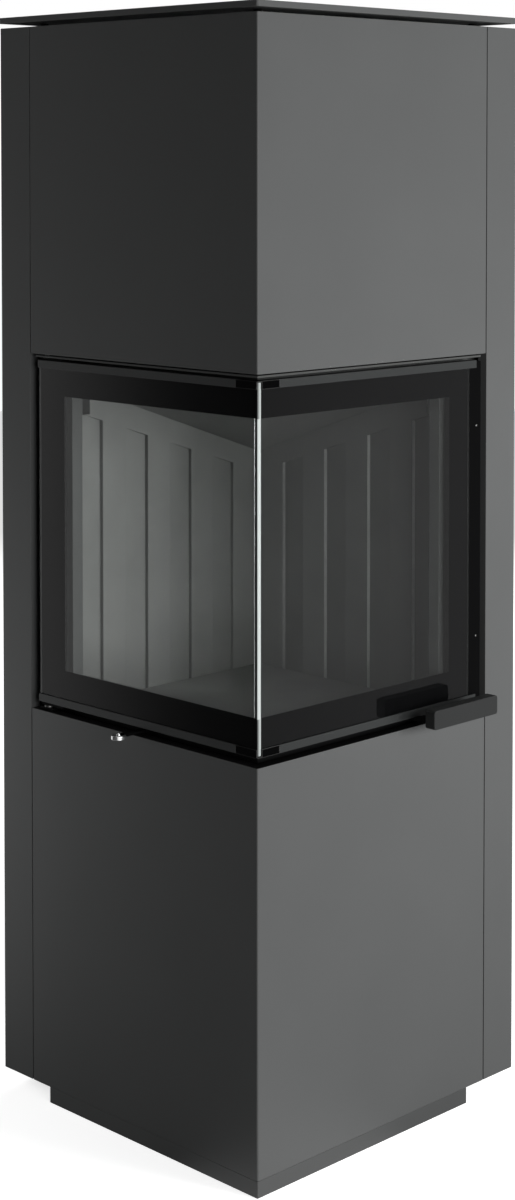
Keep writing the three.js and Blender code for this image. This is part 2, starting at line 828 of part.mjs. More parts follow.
// The ported slide, its strip up behind the casing and its arm out over the casing's edge.
// Its ports meet those of the air box when it stands at the left end of its travel.
function airSlider() {
  const face = sliderSetback - half;
  const back = face + sliderThickness;
  const middle = (sliderTop + sliderBottom) / 2;
  const ports = portCentres().map((x) => alongY(portOutline(x + sliderTravel), face - seat, back + seat));
  const outline = rectangle(armX - sliderHalfWidth, sliderBottom, armX + sliderHalfWidth, sliderTop);
  const plate = cut(alongY(outline, face, back), ...ports);
  const path = [
    new THREE.Vector2(back, middle),
    new THREE.Vector2(back, armTop),
    new THREE.Vector2(knobY, armTop),
  ];
  const strip = alongX(folded(path, sliderThickness), armX - armWidth / 2, armX + armWidth / 2);
  return piece('air_slider', 'frame', join(plate, strip));
}

function airKnob() {
  const radius = knobDiameter / 2;
  const low = armBottom - knobDrop;
  const high = low + knobHeight;
  const profile = [
    [0, low],
    [radius - knobEdge, low],
    [radius, low + knobEdge],
    [radius, high - knobEdge],
    [radius - knobEdge, high],
    [0, high],
  ];
  const disc = turned(profile, tubeSteps).translate(armX, knobY, 0);
  const side = armWidth / 2 + seat;
  const slot = prism(
    rectangle(armX - side, knobY - seat, armX + side, knobY + knobDiameter),
    armBottom - seat,
    armTop + seat,
  );
  return piece('air_knob', 'chrome', cut(disc, slot));
}

function airSpigot() {
  const outer = spigotDiameter / 2;
  const inner = outer - spigotWall;
  const flange = outer + spigotFlangeWidth;
  const length = half - spigotSetback - airBoxRearY - seat;
  const profile = [
    [inner, 0],
    [flange, 0],
    [flange, spigotFlangeThickness],
    [outer, spigotFlangeThickness],
    [outer, length],
    [inner, length],
    [inner, 0],
  ];
  const spigot = piece('air_spigot', 'inner', turned(profile, tubeSteps));
  spigot.rotation.x = -Math.PI / 2;
  spigot.position.set(armX, airBoxRearY + seat, airBoxMiddle);
  return spigot;
}

// ---------- Fixed hinge and catch pieces ----------

function hingeBearing() {
  const back = sealPlane - seat - half;
  const path = [
    new THREE.Vector2(back, bearingTop - bearingFoot),
    new THREE.Vector2(back, bearingTop),
    new THREE.Vector2(hingeY - leafNose, bearingTop),
  ];
  const side = bearingWidth / 2;
  const bracket = alongX(folded(path, bearingThickness), hingeX - side, hingeX + side);
  const bore = hingeBore(bearingTop - 2 * bearingThickness, bearingTop + seat);
  return piece('hinge_bearing', 'frame', cut(bracket, bore));
}

// A hinge pin with a collar that keeps the leaf off what holds the pin.
function hingePin(name, low, collarLow, collarHigh, high) {
  const radius = hingePinDiameter / 2;
  const collar = hingeCollarDiameter / 2;
  const profile = [
    [0, low],
    [radius, low],
    [radius, collarLow],
    [collar, collarLow],
    [collar, collarHigh],
    [radius, collarHigh],
    [radius, high],
    [0, high],
  ];
  const pin = piece(name, 'steel', turned(profile, pinSteps));
  pin.position.set(hingeX, hingeY, 0);
  return pin;
}

function hingePinLower() {
  const low = bearingTop - bearingThickness;
  return hingePin('hinge_pin_lower', low, bearingTop + seat, lowerLeafBottom - seat, doorBottom - seat);
}

function hingePinUpper() {
  const high = upperCasingBottom - seat;
  return hingePin('hinge_pin_upper', doorTop + 2 * seat, upperLeafTop + seat, lipBottom - seat, high);
}

// A bent bracket on the front plate that holds the catch's roller on an upright pin.
function catchBracket() {
  const back = half - sealPlane + seat;
  const nose = rollerX + rollerDiameter / 2;
  const reach = rollerHeight / 2 + seat + catchSheet;
  const path = [
    new THREE.Vector2(nose, catchMiddle + reach),
    new THREE.Vector2(back, catchMiddle + reach),
    new THREE.Vector2(back, catchMiddle - reach),
    new THREE.Vector2(nose, catchMiddle - reach),
  ];
  const start = strikerFace + 2 * seat - half;
  const bracket = alongY(folded(path, catchSheet), start, start + catchWidth);
  const pinEnd = rollerHeight / 2 + seat + catchSheet / 2;
  const round = circle(rollerX, rollerY, rollerPinDiameter / 2, pinSteps);
  const pin = prism(round, catchMiddle - pinEnd, catchMiddle + pinEnd);
  return piece('catch_bracket', 'frame', join(bracket, pin));
}

function catchRoller() {
  const inner = rollerPinDiameter / 2 + rollerPlay;
  const outer = rollerDiameter / 2;
  const end = rollerHeight / 2;
  const profile = [
    [inner, -end],
    [outer, -end],
    [outer, end],
    [inner, end],
    [inner, -end],
  ];
  const roller = piece('catch_roller', 'steel', turned(profile, pinSteps));
  roller.position.set(rollerX, rollerY, catchMiddle);
  return roller;
}

// ---------- Door ----------

// A rail wraps the near corner. Its channel holds the seal, and its web backs the panes' edges.
// outerLip and innerLip are the lower edges of its two walls.
function doorRail(name, rail, webLow, webHigh, outerLip, innerLip) {
  const lipDepth = webFront + channelWall / 2;
  const web = prism(cornerBand(webFront, webBack, hingeStile.far, latchStile.far), webLow, webHigh);
  const outer = prism(
    cornerBand(lipDepth, channelBack, hingeStile.far, latchStile.far),
    outerLip,
    outerLip + channelWall,
  );
  const inner = prism(
    cornerBand(lipDepth, channelBack, hingeStile.near, latchStile.near),
    innerLip,
    innerLip + channelWall,
  );
  const frontEnd = prism(
    planRectangle(lipDepth, hingeStile.far - channelWall, channelBack, hingeStile.far),
    rail.low,
    rail.high,
  );
  const flankEnd = prism(
    planRectangle(latchStile.far - channelWall, lipDepth, latchStile.far, channelBack),
    rail.low,
    rail.high,
  );
  return piece(name, 'frame', join(web, outer, inner, frontEnd, flankEnd));
}

const doorTopRail = () =>
  doorRail('door_top_rail', topRail, topRail.low, glassTop, topRail.high - channelWall, topRail.low);

function doorBottomRail() {
  const { low, high } = bottomRail;
  return doorRail('door_bottom_rail', bottomRail, glassBottom, high, low, high - channelWall);
}

// A channel's section, from near to far along a face, its web extended to webEnd.
const channelSection = (near, far, webEnd) => [
  [near, webFront],
  [webEnd, webFront],
  [webEnd, webBack],
  [far, webBack],
  [far, channelBack],
  [far - channelWall, channelBack],
  [far - channelWall, webBack],
  [near + channelWall, webBack],
  [near + channelWall, channelBack],
  [near, channelBack],
];

function doorHingeStile() {
  const section = channelSection(hingeStile.near, hingeStile.far - seat, hingeStile.far - seat);
  const outline = section.map(([along, depth]) => at(depth, along));
  return piece('door_hinge_stile', 'frame', prism(outline, bottomRail.high + seat, topRail.low - seat));
}

function doorLatchStile() {
  const section = channelSection(latchStile.near, latchStile.far, latchCoverEnd);
  const outline = section.map(([along, depth]) => at(along, depth));
  return piece('door_latch_stile', 'frame', prism(outline, bottomRail.high + seat, topRail.low - seat));
}

function latchCover() {
  const outline = planRectangle(flankPaneEnd + seat, glassSetback, latchCoverEnd, glassBack);
  return piece('latch_cover', 'frame', prism(outline, glassBottom, glassTop));
}

function glassFront() {
  const outline = planRectangle(glassSetback, glassSetback, glassBack, frontPaneEnd);
  return piece('glass_front', 'glass', prism(outline, glassBottom, glassTop));
}

// The flank's pane butts against the back of the front's.
function glassFlank() {
  const outline = planRectangle(webFront, glassSetback, flankPaneEnd, glassBack);
  return piece('glass_flank', 'glass', prism(outline, glassBottom, glassTop));
}

const spanFrom = (edge, change) => [Math.min(edge, edge + change), Math.max(edge, edge + change)];

// A clamp strip: a face over the pane's edge and a leg across the edge to the rail.
function glassStrip(name, place, end, edge, inward) {
  const start = cornerReach;
  const outline = (d0, d1) => [place(start, d0), place(end, d0), place(end, d1), place(start, d1)];
  const face = prism(outline(stripFront, stripBack), ...spanFrom(edge, inward * stripHeight));
  const leg = prism(outline(stripFront, webBack), ...spanFrom(edge, inward * stripLeg));
  return piece(name, 'strip', join(face, leg));
}

function glassStrips() {
  const onFront = (along, depth) => at(depth, along);
  const onFlank = (along, depth) => at(along, depth);
  const flankEnd = flankPaneEnd + stripOverrun;
  return [
    glassStrip('glass_strip_front_top', onFront, frontPaneEnd, doorTop, -1),
    glassStrip('glass_strip_front_bottom', onFront, frontPaneEnd, doorBottom, 1),
    glassStrip('glass_strip_flank_top', onFlank, flankEnd, doorTop, -1),
    glassStrip('glass_strip_flank_bottom', onFlank, flankEnd, doorBottom, 1),
  ];
}

// Holds both panes at the near corner: a cap across their edges and a flange on each face.
function cornerClamp(name, edge, inward) {
  const reach = cornerReach - seat;
  const flange = spanFrom(edge, inward * stripHeight);
  const frontFlange = prism(planRectangle(stripFront, glassSetback, stripBack, reach), ...flange);
  const flankFlange = prism(planRectangle(webFront, stripFront, reach, stripBack), ...flange);
  const outline = cornerBand(stripFront, webBack, reach, reach);
  const cap = prism(outline, ...spanFrom(edge, inward * stripLeg));
  return piece(name, 'frame', join(frontFlange, flankFlange, cap));
}

// The rope seal's closed run round the corner: six straight lengths with rounded turns.
function doorRopeSeal() {
  const frontEnd = (hingeStile.near + hingeStile.far) / 2;
  const flankEnd = (latchStile.near + latchStile.far) / 2;
  const low = (bottomRail.low + bottomRail.high) / 2;
  const high = (topRail.low + topRail.high) / 2;
  const plan = [at(ropeDepth, frontEnd), at(ropeDepth, ropeDepth), at(flankEnd, ropeDepth)];
  const lower = plan.map((point) => new THREE.Vector3(point.x, point.y, low));
  const upper = plan.map((point) => new THREE.Vector3(point.x, point.y, high)).reverse();
  const corners = [...lower, ...upper];
  const radius = ropeDiameter / 2;
  const lengths = corners.flatMap((corner, i) => {
    const next = corners[(i + 1) % corners.length];
    const run = next.clone().sub(corner);
    const turn = new THREE.Quaternion();
    turn.setFromUnitVectors(new THREE.Vector3(0, 1, 0), run.clone().normalize());
    const middle = corner.clone().add(next).multiplyScalar(1 / 2);
    const length = new THREE.CylinderGeometry(radius, radius, run.length(), ropeSteps);
    length.applyQuaternion(turn).translate(middle.x, middle.y, middle.z);
    const ball = new THREE.SphereGeometry(radius, ropeSteps, ropeSteps / 2);
    ball.translate(corner.x, corner.y, corner.z);
    return [length, ball];
  });
  return piece('door_rope_seal', 'rope', join(...lengths));
}

// ---------- Handle, hinge leaves and striker ----------

function handleBar() {
  const inset = handleBevel;
  const width = handleLength - 2 * inset;
  const height = handleHeight - 2 * inset;
  const radius = handleCorner - inset;
  const shape = new THREE.Shape();
  shape.moveTo(radius, 0);
  shape.lineTo(width - radius, 0);
  shape.absarc(width - radius, radius, radius, -Math.PI / 2, 0);
  shape.lineTo(width, height - radius);
  shape.absarc(width - radius, height - radius, radius, 0, Math.PI / 2);
  shape.lineTo(radius, height);
  shape.absarc(radius, height - radius, radius, Math.PI / 2, Math.PI);
  shape.lineTo(0, radius);
  shape.absarc(radius, radius, radius, Math.PI, (3 * Math.PI) / 2);
  const bar = new THREE.ExtrudeGeometry(shape, {
    depth: handleThickness - 2 * inset,
    bevelThickness: inset,
    bevelSize: inset,
    bevelSegments: 2,
    curveSegments: bendSteps,
  });
  const end = flankPaneEnd - handleEndInset - half;
  const mesh = piece('handle_bar', 'strip', towardX(bar));
  mesh.position.set(half + handleStandoff, end - handleLength, doorBottom - handleDrop);
  mesh.position.addScalar(inset);
  return mesh;
}

// Bent brackets that reach under the door, from behind its bottom rail to the handle's back.
function handleBrackets() {
  const back = half - webBack - seat - bracketSheet;
  const front = half + handleStandoff - seat;
  const low = doorBottom - seat - bracketSheet;
  const path = [
    new THREE.Vector2(back, bottomRail.low - seat),
    new THREE.Vector2(back, low),
    new THREE.Vector2(front, low),
    new THREE.Vector2(front, low + bracketLug),
  ];
  const profile = folded(path, bracketSheet);
  const end = flankPaneEnd - handleEndInset - half - bracketInset;
  const start = end - handleLength + 2 * bracketInset;
  return [start, end - bracketWidth].map((y, i) =>
    piece(`handle_bracket_${i + 1}`, 'frame', alongY(profile, y, y + bracketWidth)),
  );
}

// A leaf that turns on a pin: a level ear with the bore and an upright behind the rail's web.
function hingeLeaf(name, earLow, earHigh, uprightLow, uprightHigh) {
  const front = hingeY - leafNose;
  const uprightFront = webBack + seat - half;
  const back = uprightFront + bracketSheet;
  const ear = prism(rectangle(hingeX - leafEar, front, hingeX + leafLength, back), earLow, earHigh);
  const uprightStart = half - hingeStile.far + seat;
  const uprightOutline = rectangle(uprightStart, uprightFront, hingeX + leafLength, back);
  const upright = prism(uprightOutline, uprightLow, uprightHigh);
  const bore = hingeBore(earLow - seat, earHigh + seat);
  return piece(name, 'frame', cut(join(ear, upright), bore));
}

function hingeLeafLower() {
  const high = doorBottom - seat;
  return hingeLeaf('hinge_leaf_lower', lowerLeafBottom, high, high - lowerLeaf / 2, bottomRail.low - seat);
}

function hingeLeafUpper() {
  const low = doorTop + seat;
  return hingeLeaf('hinge_leaf_upper', low, upperLeafTop, topRail.high + seat, low + upperLeaf / 2);
}

function catchStriker() {
  const outline = planRectangle(latchStile.far + seat, webBack + seat, strikerFace, channelBack);
  const low = catchMiddle - strikerHeight / 2;
  return piece('catch_striker', 'steel', prism(outline, low, low + strikerHeight));
}

// ---------- Assembly ----------

const support = group(plinth(), basePlate(), supportLegs(), lidPosts());

const casing = group(
  sideCasingLeft(),
  sideCasingRight(),
  lowerFrontCasing(),
  upperFrontCasing(),
  heatShield('heat_shield_left', false),
  heatShield('heat_shield_right', true),
  casingLid(),
  ...topPads(),
  topPlate(),
);

const firebox = group(
  fireboxShell(),
  fireboxFront(),
  liningLeft(),
  liningRight(),
  hearthSlab(),
  baffleSlab(),
  deflectorPlate(),
  flueCollar(),
);

const airControl = group(airBox(), airSlider(), airKnob(), airSpigot());

const doorFittings = group(hingeBearing(), hingePinLower(), hingePinUpper(), catchBracket(), catchRoller());

const door = group(
  doorTopRail(),
  doorBottomRail(),
  doorHingeStile(),
  doorLatchStile(),
  latchCover(),
  glassFront(),
  glassFlank(),
  ...glassStrips(),
  cornerClamp('corner_clamp_top', doorTop, -1),
  cornerClamp('corner_clamp_bottom', doorBottom, 1),
  doorRopeSeal(),
  handleBar(),
  ...handleBrackets(),
  hingeLeafLower(),
  hingeLeafUpper(),
  catchStriker(),
);

const cornerFireplace = group(support, casing, firebox, airControl, doorFittings, door);

export default cornerFireplace;
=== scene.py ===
import json
import math

import bmesh
import bpy
import numpy as np
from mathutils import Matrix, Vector

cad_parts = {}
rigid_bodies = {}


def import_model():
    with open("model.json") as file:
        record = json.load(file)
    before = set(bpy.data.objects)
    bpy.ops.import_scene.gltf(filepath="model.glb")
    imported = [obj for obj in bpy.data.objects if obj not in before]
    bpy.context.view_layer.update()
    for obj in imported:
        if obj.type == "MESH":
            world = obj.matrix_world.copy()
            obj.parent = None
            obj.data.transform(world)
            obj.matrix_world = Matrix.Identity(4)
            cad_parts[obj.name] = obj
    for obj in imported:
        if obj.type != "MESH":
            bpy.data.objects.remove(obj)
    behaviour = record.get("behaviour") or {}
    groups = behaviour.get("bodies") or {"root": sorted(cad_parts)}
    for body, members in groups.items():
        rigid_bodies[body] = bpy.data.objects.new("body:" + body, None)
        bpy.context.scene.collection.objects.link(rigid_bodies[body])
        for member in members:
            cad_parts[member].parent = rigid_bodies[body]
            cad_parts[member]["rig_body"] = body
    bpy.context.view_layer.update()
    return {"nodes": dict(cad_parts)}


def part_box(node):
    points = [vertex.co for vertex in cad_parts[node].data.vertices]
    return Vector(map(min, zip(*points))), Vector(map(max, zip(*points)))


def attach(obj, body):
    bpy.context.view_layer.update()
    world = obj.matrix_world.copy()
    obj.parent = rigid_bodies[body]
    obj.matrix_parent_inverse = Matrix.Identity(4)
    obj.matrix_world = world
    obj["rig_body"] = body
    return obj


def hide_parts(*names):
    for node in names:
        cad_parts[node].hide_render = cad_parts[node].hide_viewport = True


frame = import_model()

# ---------- The frame ----------
# The imported solids, in metres: the glazed front faces -Y and the glazed flank faces +X.


# ---------- Camera ----------
# A long lens a little below the top plate, looking at the near corner. Most of the framing is
# shift, as in the photograph, and the rest is a slight downward tilt.

camera_azimuth = math.radians(45.14)
camera_tilt = math.radians(2.307)
camera_distance = 3.1106
camera_height = 1.2992

camera_data = bpy.data.cameras.new("camera")
camera_data.lens = 66.97
camera_data.sensor_width = 36
camera_data.shift_x = -0.00064
camera_data.shift_y = -0.2893
camera = bpy.data.objects.new("camera", camera_data)
camera.location = (
    camera_distance * math.sin(camera_azimuth),
    -camera_distance * math.cos(camera_azimuth),
    camera_height,
)
camera.rotation_euler = (math.pi / 2 - camera_tilt, 0, camera_azimuth)
bpy.context.collection.objects.link(camera)
bpy.context.scene.camera = camera


# ---------- Studio: floor, surround and reflector panels ----------
# A white sweep in a dark hall. What is seen directly is white. What the gloss mirrors is dark,
# but for a bright patch before the near corner, one past the front's far side and one overhead,
# and two tall graded panels that stand where the front pane and the flank pane mirror them.

studio_ambient = 0.005
studio_gloss_low = 0.03
studio_glows = (
    ((0.85, -0.5, 0), 0.75, 0.98, 0.9),
    ((-0.97, -0.25, 0), 0.9, 0.995, 0.7),
    ((0.15, -0.15, 1), 0.8, 0.97, 1.0),
)
floor_size = 14
panel_height = 2.2


def set_inputs(node, inputs):
    """Sets the node's inputs, by name or by number: a socket is linked, and a value stored."""
    for name, value in inputs.items():
        if isinstance(value, bpy.types.NodeSocket):
            node.id_data.links.new(value, node.inputs[name])
        else:
            node.inputs[name].default_value = value


def add_node(tree, kind, inputs, **settings):
    """A node of the kind, with its own settings and its inputs."""
    made = tree.nodes.new(kind)
    for name, value in settings.items():
        setattr(made, name, value)
    set_inputs(made, inputs)
    return made


def add_math(tree, operation, *operands):
    """The output of a Math node. Each operand is a socket to link or a number."""
    return add_node(tree, "ShaderNodeMath", dict(enumerate(operands)), operation=operation).outputs[0]


def mapped(tree, value, start, end, low=0, high=1, **settings):
    """Runs from low to high as the value runs from start to end, and no further."""
    ends = {"Value": value, "From Min": start, "From Max": end, "To Min": low, "To Max": high}
    return add_node(tree, "ShaderNodeMapRange", ends, **settings).outputs[0]


def mixed(tree, share, first, second):
    """The number that lies between two by the share."""
    return add_node(tree, "ShaderNodeMix", {"Factor": share, "A": first, "B": second}).outputs[0]


def dot(tree, first, second):
    """The dot product of two vectors. Each is a socket to link or three numbers."""
    inputs = {0: first, 1: second}
    return add_node(tree, "ShaderNodeVectorMath", inputs, operation="DOT_PRODUCT").outputs["Value"]


def new_group(name, inputs, outputs):
    """An empty node group whose sockets have these names and kinds, and what it is given."""
    tree = bpy.data.node_groups.new(name, "ShaderNodeTree")
    for way, sockets in (("INPUT", inputs), ("OUTPUT", outputs)):
        for socket, kind in sockets.items():
            tree.interface.new_socket(socket, in_out=way, socket_type=f"NodeSocket{kind}")
    return tree, tree.nodes.new("NodeGroupInput").outputs


def placed(tree, group, inputs):
    """The outputs of the group, placed in the tree with these inputs."""
    return add_node(tree, "ShaderNodeGroup", inputs, node_tree=group).outputs


def studio_gloss_group(low, glows):
    """The studio's brightness in the gloss, by direction: low plus, for each glow, a smooth rise
    to its strength as the cosine to its own direction passes between its two cosines."""
    tree, given = new_group("Studio gloss", {"Direction": "Vector"}, {"Brightness": "Float"})
    seen = add_node(tree, "ShaderNodeVectorMath", {0: given["Direction"]}, operation="NORMALIZE").outputs[0]
    total = low
    for direction, edge_cosine, full_cosine, strength in glows:
        cosine = dot(tree, seen, Vector(direction).normalized())
        rise = mapped(tree, cosine, edge_cosine, full_cosine, 0, strength, interpolation_type="SMOOTHSTEP")
        total = add_math(tree, "ADD", total, rise)
    add_node(tree, "NodeGroupOutput", {"Brightness": total})
    return tree


studio_gloss = studio_gloss_group(studio_gloss_low, studio_glows)


def bounce_masks(tree):
    """Two masks: 1 where the ray has met gloss on its way, and 1 where it has met anything but
    clear glass."""
    paths = tree.nodes.new("ShaderNodeLightPath")
    glossy = add_math(tree, "GREATER_THAN", paths.outputs["Glossy Depth"], 0.5)
    bounces = add_math(tree, "ADD", paths.outputs["Glossy Depth"], paths.outputs["Diffuse Depth"])
    return glossy, add_math(tree, "GREATER_THAN", bounces, 0.5)


def light_surround(world, ambient):
    """The surround: white where seen, ambient where it lights matt paint, and the studio's gloss
    where a surface mirrors it."""
    world.cycles.sampling_method = "NONE"
    world.use_nodes = True
    tree = world.node_tree
    tree.nodes.clear()
    glossy, bounced = bounce_masks(tree)
    seen = tree.nodes.new("ShaderNodeTexCoord").outputs["Generated"]
    gloss = placed(tree, studio_gloss, {"Direction": seen})[0]
    strength = mixed(tree, bounced, 1, mixed(tree, glossy, ambient, gloss))
    shown = add_node(tree, "ShaderNodeBackground", {"Color": (1, 1, 1, 1), "Strength": strength})
    add_node(tree, "ShaderNodeOutputWorld", {"Surface": shown.outputs[0]})


studio = bpy.data.worlds.new("studio")
bpy.context.scene.world = studio
light_surround(studio, studio_ambient)
bpy.context.scene.view_settings.view_transform = "Standard"


def new_material(name, inputs):
    """A material whose Principled shader has these inputs, with its node tree and that shader."""
    made = bpy.data.materials.new(name)
    made.use_nodes = True
    shader = made.node_tree.nodes["Principled BSDF"]
    set_inputs(shader, inputs)
    return made, made.node_tree, shader


def object_place(tree):
    """The place in the object's own coordinates."""
    return tree.nodes.new("ShaderNodeTexCoord").outputs["Object"]


def clouds(tree, place, scale, detail, roughness=0.5):
    """Cloudy noise at the place, near 0.5 on the whole."""
    inputs = {"Vector": place, "Scale": scale, "Detail": detail, "Roughness": roughness}
    return add_node(tree, "ShaderNodeTexNoise", inputs).outputs[0]


def studio_floor_paint():
    """Matt floor paint with a faint cloudy mottle. It shows nearly white, sends little light up
    to the part, and takes the studio's gloss in what mirrors it."""
    inputs = {"Roughness": 0.9, "Specular IOR Level": 0, "Emission Color": (1, 1, 1, 1)}
    made, tree, shader = new_material("studio_floor", inputs)
    made.cycles.emission_sampling = "NONE"
    place = object_place(tree)
    glossy, bounced = bounce_masks(tree)
    pale = mapped(tree, clouds(tree, place, 1.3, 3), 0, 1, 0.82, 0.86)
    gloss = placed(tree, studio_gloss, {"Direction": place})[0]
    mirrored = add_math(tree, "MULTIPLY", gloss, glossy)
    surface = {
        "Base Color": mixed(tree, bounced, pale, 0.1),
        "Emission Strength": mixed(tree, bounced, 0.72, mirrored),
    }
    set_inputs(shader, surface)
    return made


bpy.ops.mesh.primitive_plane_add(size=floor_size, location=(0, 0, 0))
floor = bpy.context.object
floor.name = "studio_floor"
floor.data.materials.append(studio_floor_paint())


def axis_of(tree, vector, axis):
    """One coordinate of a vector."""
    return add_node(tree, "ShaderNodeSeparateXYZ", {0: vector}).outputs[axis]


def ramped(tree, value, stops, interpolation="LINEAR"):
    """The value's colour on a ramp of (position, colour) stops."""
    made = add_node(tree, "ShaderNodeValToRGB", {0: value})
    ramp = made.color_ramp
    ramp.interpolation = interpolation
    ramp.elements.remove(ramp.elements[1])
    for i, (position, colour) in enumerate(stops):
        stop = ramp.elements[0] if i == 0 else ramp.elements.new(position)
        stop.position = position
        stop.color = (*colour, 1)
    return made.outputs[0]


def reflector_panel(name, start, end, bright):
    """An upright panel between two plan points that shows only in gloss. bright is a list of
    (share of the way from start to end, brightness)."""
    mesh = bpy.data.meshes.new(name)
    corners = [(*start, 0), (*end, 0), (*end, panel_height), (*start, panel_height)]
    mesh.from_pydata(corners, [], [(0, 1, 2, 3)])
    mesh.uv_layers.new(name="UVMap").uv.foreach_set("vector", (0, 0, 1, 0, 1, 1, 0, 1))
    made, tree, shader = new_material(name, {})
    made.cycles.emission_sampling = "NONE"
    tree.nodes.remove(shader)
    across = axis_of(tree, tree.nodes.new("ShaderNodeUVMap").outputs[0], "X")
    peak = max(value for _, value in bright)
    colour = ramped(tree, across, [(share, [value / peak] * 3) for share, value in bright], "B_SPLINE")
    clear = tree.nodes.new("ShaderNodeBsdfTransparent").outputs[0]
    glow = add_node(tree, "ShaderNodeEmission", {"Color": colour, "Strength": peak}).outputs[0]
    glossy, _ = bounce_masks(tree)
    shown = add_node(tree, "ShaderNodeMixShader", {0: glossy, 1: clear, 2: glow}).outputs[0]
    set_inputs(tree.nodes["Material Output"], {"Surface": shown})
    mesh.materials.append(made)
    panel = bpy.data.objects.new(name, mesh)
    panel.visible_camera = False
    panel.visible_diffuse = False
    panel.visible_shadow = False
    bpy.context.collection.objects.link(panel)


front_gradient = ((0.0, 0.015), (0.12, 0.025), (0.34, 0.035), (0.57, 0.46), (0.75, 0.62))
reflector_panel("front_reflector", (-0.45, -1.13), (-1.6, -0.92), front_gradient)
flank_gradient = ((0.0, 0.065), (0.2, 0.17), (0.5, 0.26), (0.8, 0.29))
reflector_panel("flank_reflector", (1.2, 0.2), (0.88, 1.7), flank_gradient)


# ---------- Studio lamps ----------
# Broad soft lamps stand past the flank, one before it and one behind it. Small ones light the
# door's level, the handle's side and the front's far edge, a narrow beam falls through the pane
# on the hearth, and one lamp at the back lights what the photograph doesn't show.

def soft_lamp(name, place, aim, size, power, mirrored=True, beam=180):
    """A rectangular area lamp at place, turned so that its -Z axis points at aim, whose beam is
    this many degrees wide. The camera doesn't see it, nor does gloss or glass where mirrored is
    False."""
    data = bpy.data.lights.new(name, "AREA")
    data.spread = math.radians(beam)
    data.shape = "RECTANGLE"
    data.size, data.size_y = size
    data.energy = power
    lamp = bpy.data.objects.new(name, data)
    lamp.location = place
    lamp.rotation_euler = (Vector(aim) - Vector(place)).to_track_quat("-Z", "Y").to_euler()
    lamp.visible_camera = False
    lamp.visible_glossy = mirrored
    lamp.visible_transmission = mirrored
    bpy.context.collection.objects.link(lamp)


soft_lamp("flank_lamp", (3.4, -1.15, 1.1), (0.25, 0, 0.75), (1.8, 1.6), 51)
soft_lamp("rear_flank_lamp", (3.3, 0.9, 1.1), (0.25, 0, 0.75), (0.8, 1.2), 69, mirrored=False)
soft_lamp("door_level_lamp", (1.7, 0.1, 0.98), (0.25, 0.06, 0.98), (0.5, 0.4), 5.5, mirrored=False)
soft_lamp("latch_side_lamp", (1.5, 0.8, 0.72), (0.25, 0.2, 0.72), (0.4, 0.4), 13, mirrored=False)
soft_lamp("low_front_lamp", (-0.7, -0.7, 0.45), (-0.2, -0.25, 0.5), (0.3, 0.5), 2.6, mirrored=False)
soft_lamp("hearth_lamp", (1.75, -0.35, 1.5), (0.25, -0.06, 0.8), (0.16, 0.2), 0.15, mirrored=False, beam=12)
soft_lamp("rear_lamp", (-2.6, 2.8, 2.2), (0, 0, 0.75), (1.6, 1.6), 80)


# ---------- Casing, plinth and top plate ----------
# Folded steel sheet in satin graphite heat-resistant paint. The paint dries with a fine grain
# and a faint broad mottle. Folds and cut edges are slightly rounded by it and paler in colour,
# partly from wear and partly as a painted highlight.
# The top of the lower casing's fold under the door is painted black, as painted shade in the
# gap, and the plinth's flank is painted darker, as painted shade.

paint_edge = 0.0012


def sprayed_paint_group():
    """Sprayed paint over folded sheet. Grain is noise of the grain's size, Mottle is noise a
    hand's width across, Side is the normal rounded over the edges, and Wear and highlight is
    where that leaves the true normal: the edges, paler from wear and as a painted highlight."""
    outputs = {"Grain": "Float", "Mottle": "Float", "Wear and highlight": "Float", "Side": "Vector"}
    tree, given = new_group("Sprayed paint", {"Grain size": "Float"}, outputs)
    place = object_place(tree)
    side = add_node(tree, "ShaderNodeBevel", {"Radius": paint_edge}, samples=4).outputs[0]
    true_side = tree.nodes.new("ShaderNodeNewGeometry").outputs["Normal"]
    surface = {
        "Grain": clouds(tree, place, add_math(tree, "DIVIDE", 1, given["Grain size"]), 3, 0.6),
        "Mottle": clouds(tree, place, 7, 3, 0.55),
        "Wear and highlight": mapped(tree, dot(tree, side, true_side), 0.995, 0.85),
        "Side": side,
    }
    add_node(tree, "NodeGroupOutput", surface)
    return tree


sprayed_paint = sprayed_paint_group()


def mixed_colour(tree, share, first, second, blend="MIX"):
    """The colour between two by the share. Each is a socket to link or an RGB colour."""
    made = add_node(tree, "ShaderNodeMix", {"Factor": share}, data_type="RGBA", blend_type=blend)
    for number, colour in ((6, first), (7, second)):
        set_inputs(made, {number: colour if isinstance(colour, bpy.types.NodeSocket) else (*colour, 1)})
    return made.outputs[2]


def bumped(tree, height, depth, strength, side=None):
    """The normal, or the side where it is given, bent by a height of the depth."""
    made = add_node(tree, "ShaderNodeBump", {"Height": height, "Distance": depth, "Strength": strength})
    if side is not None:
        tree.links.new(side, made.inputs["Normal"])
    return made.outputs[0]


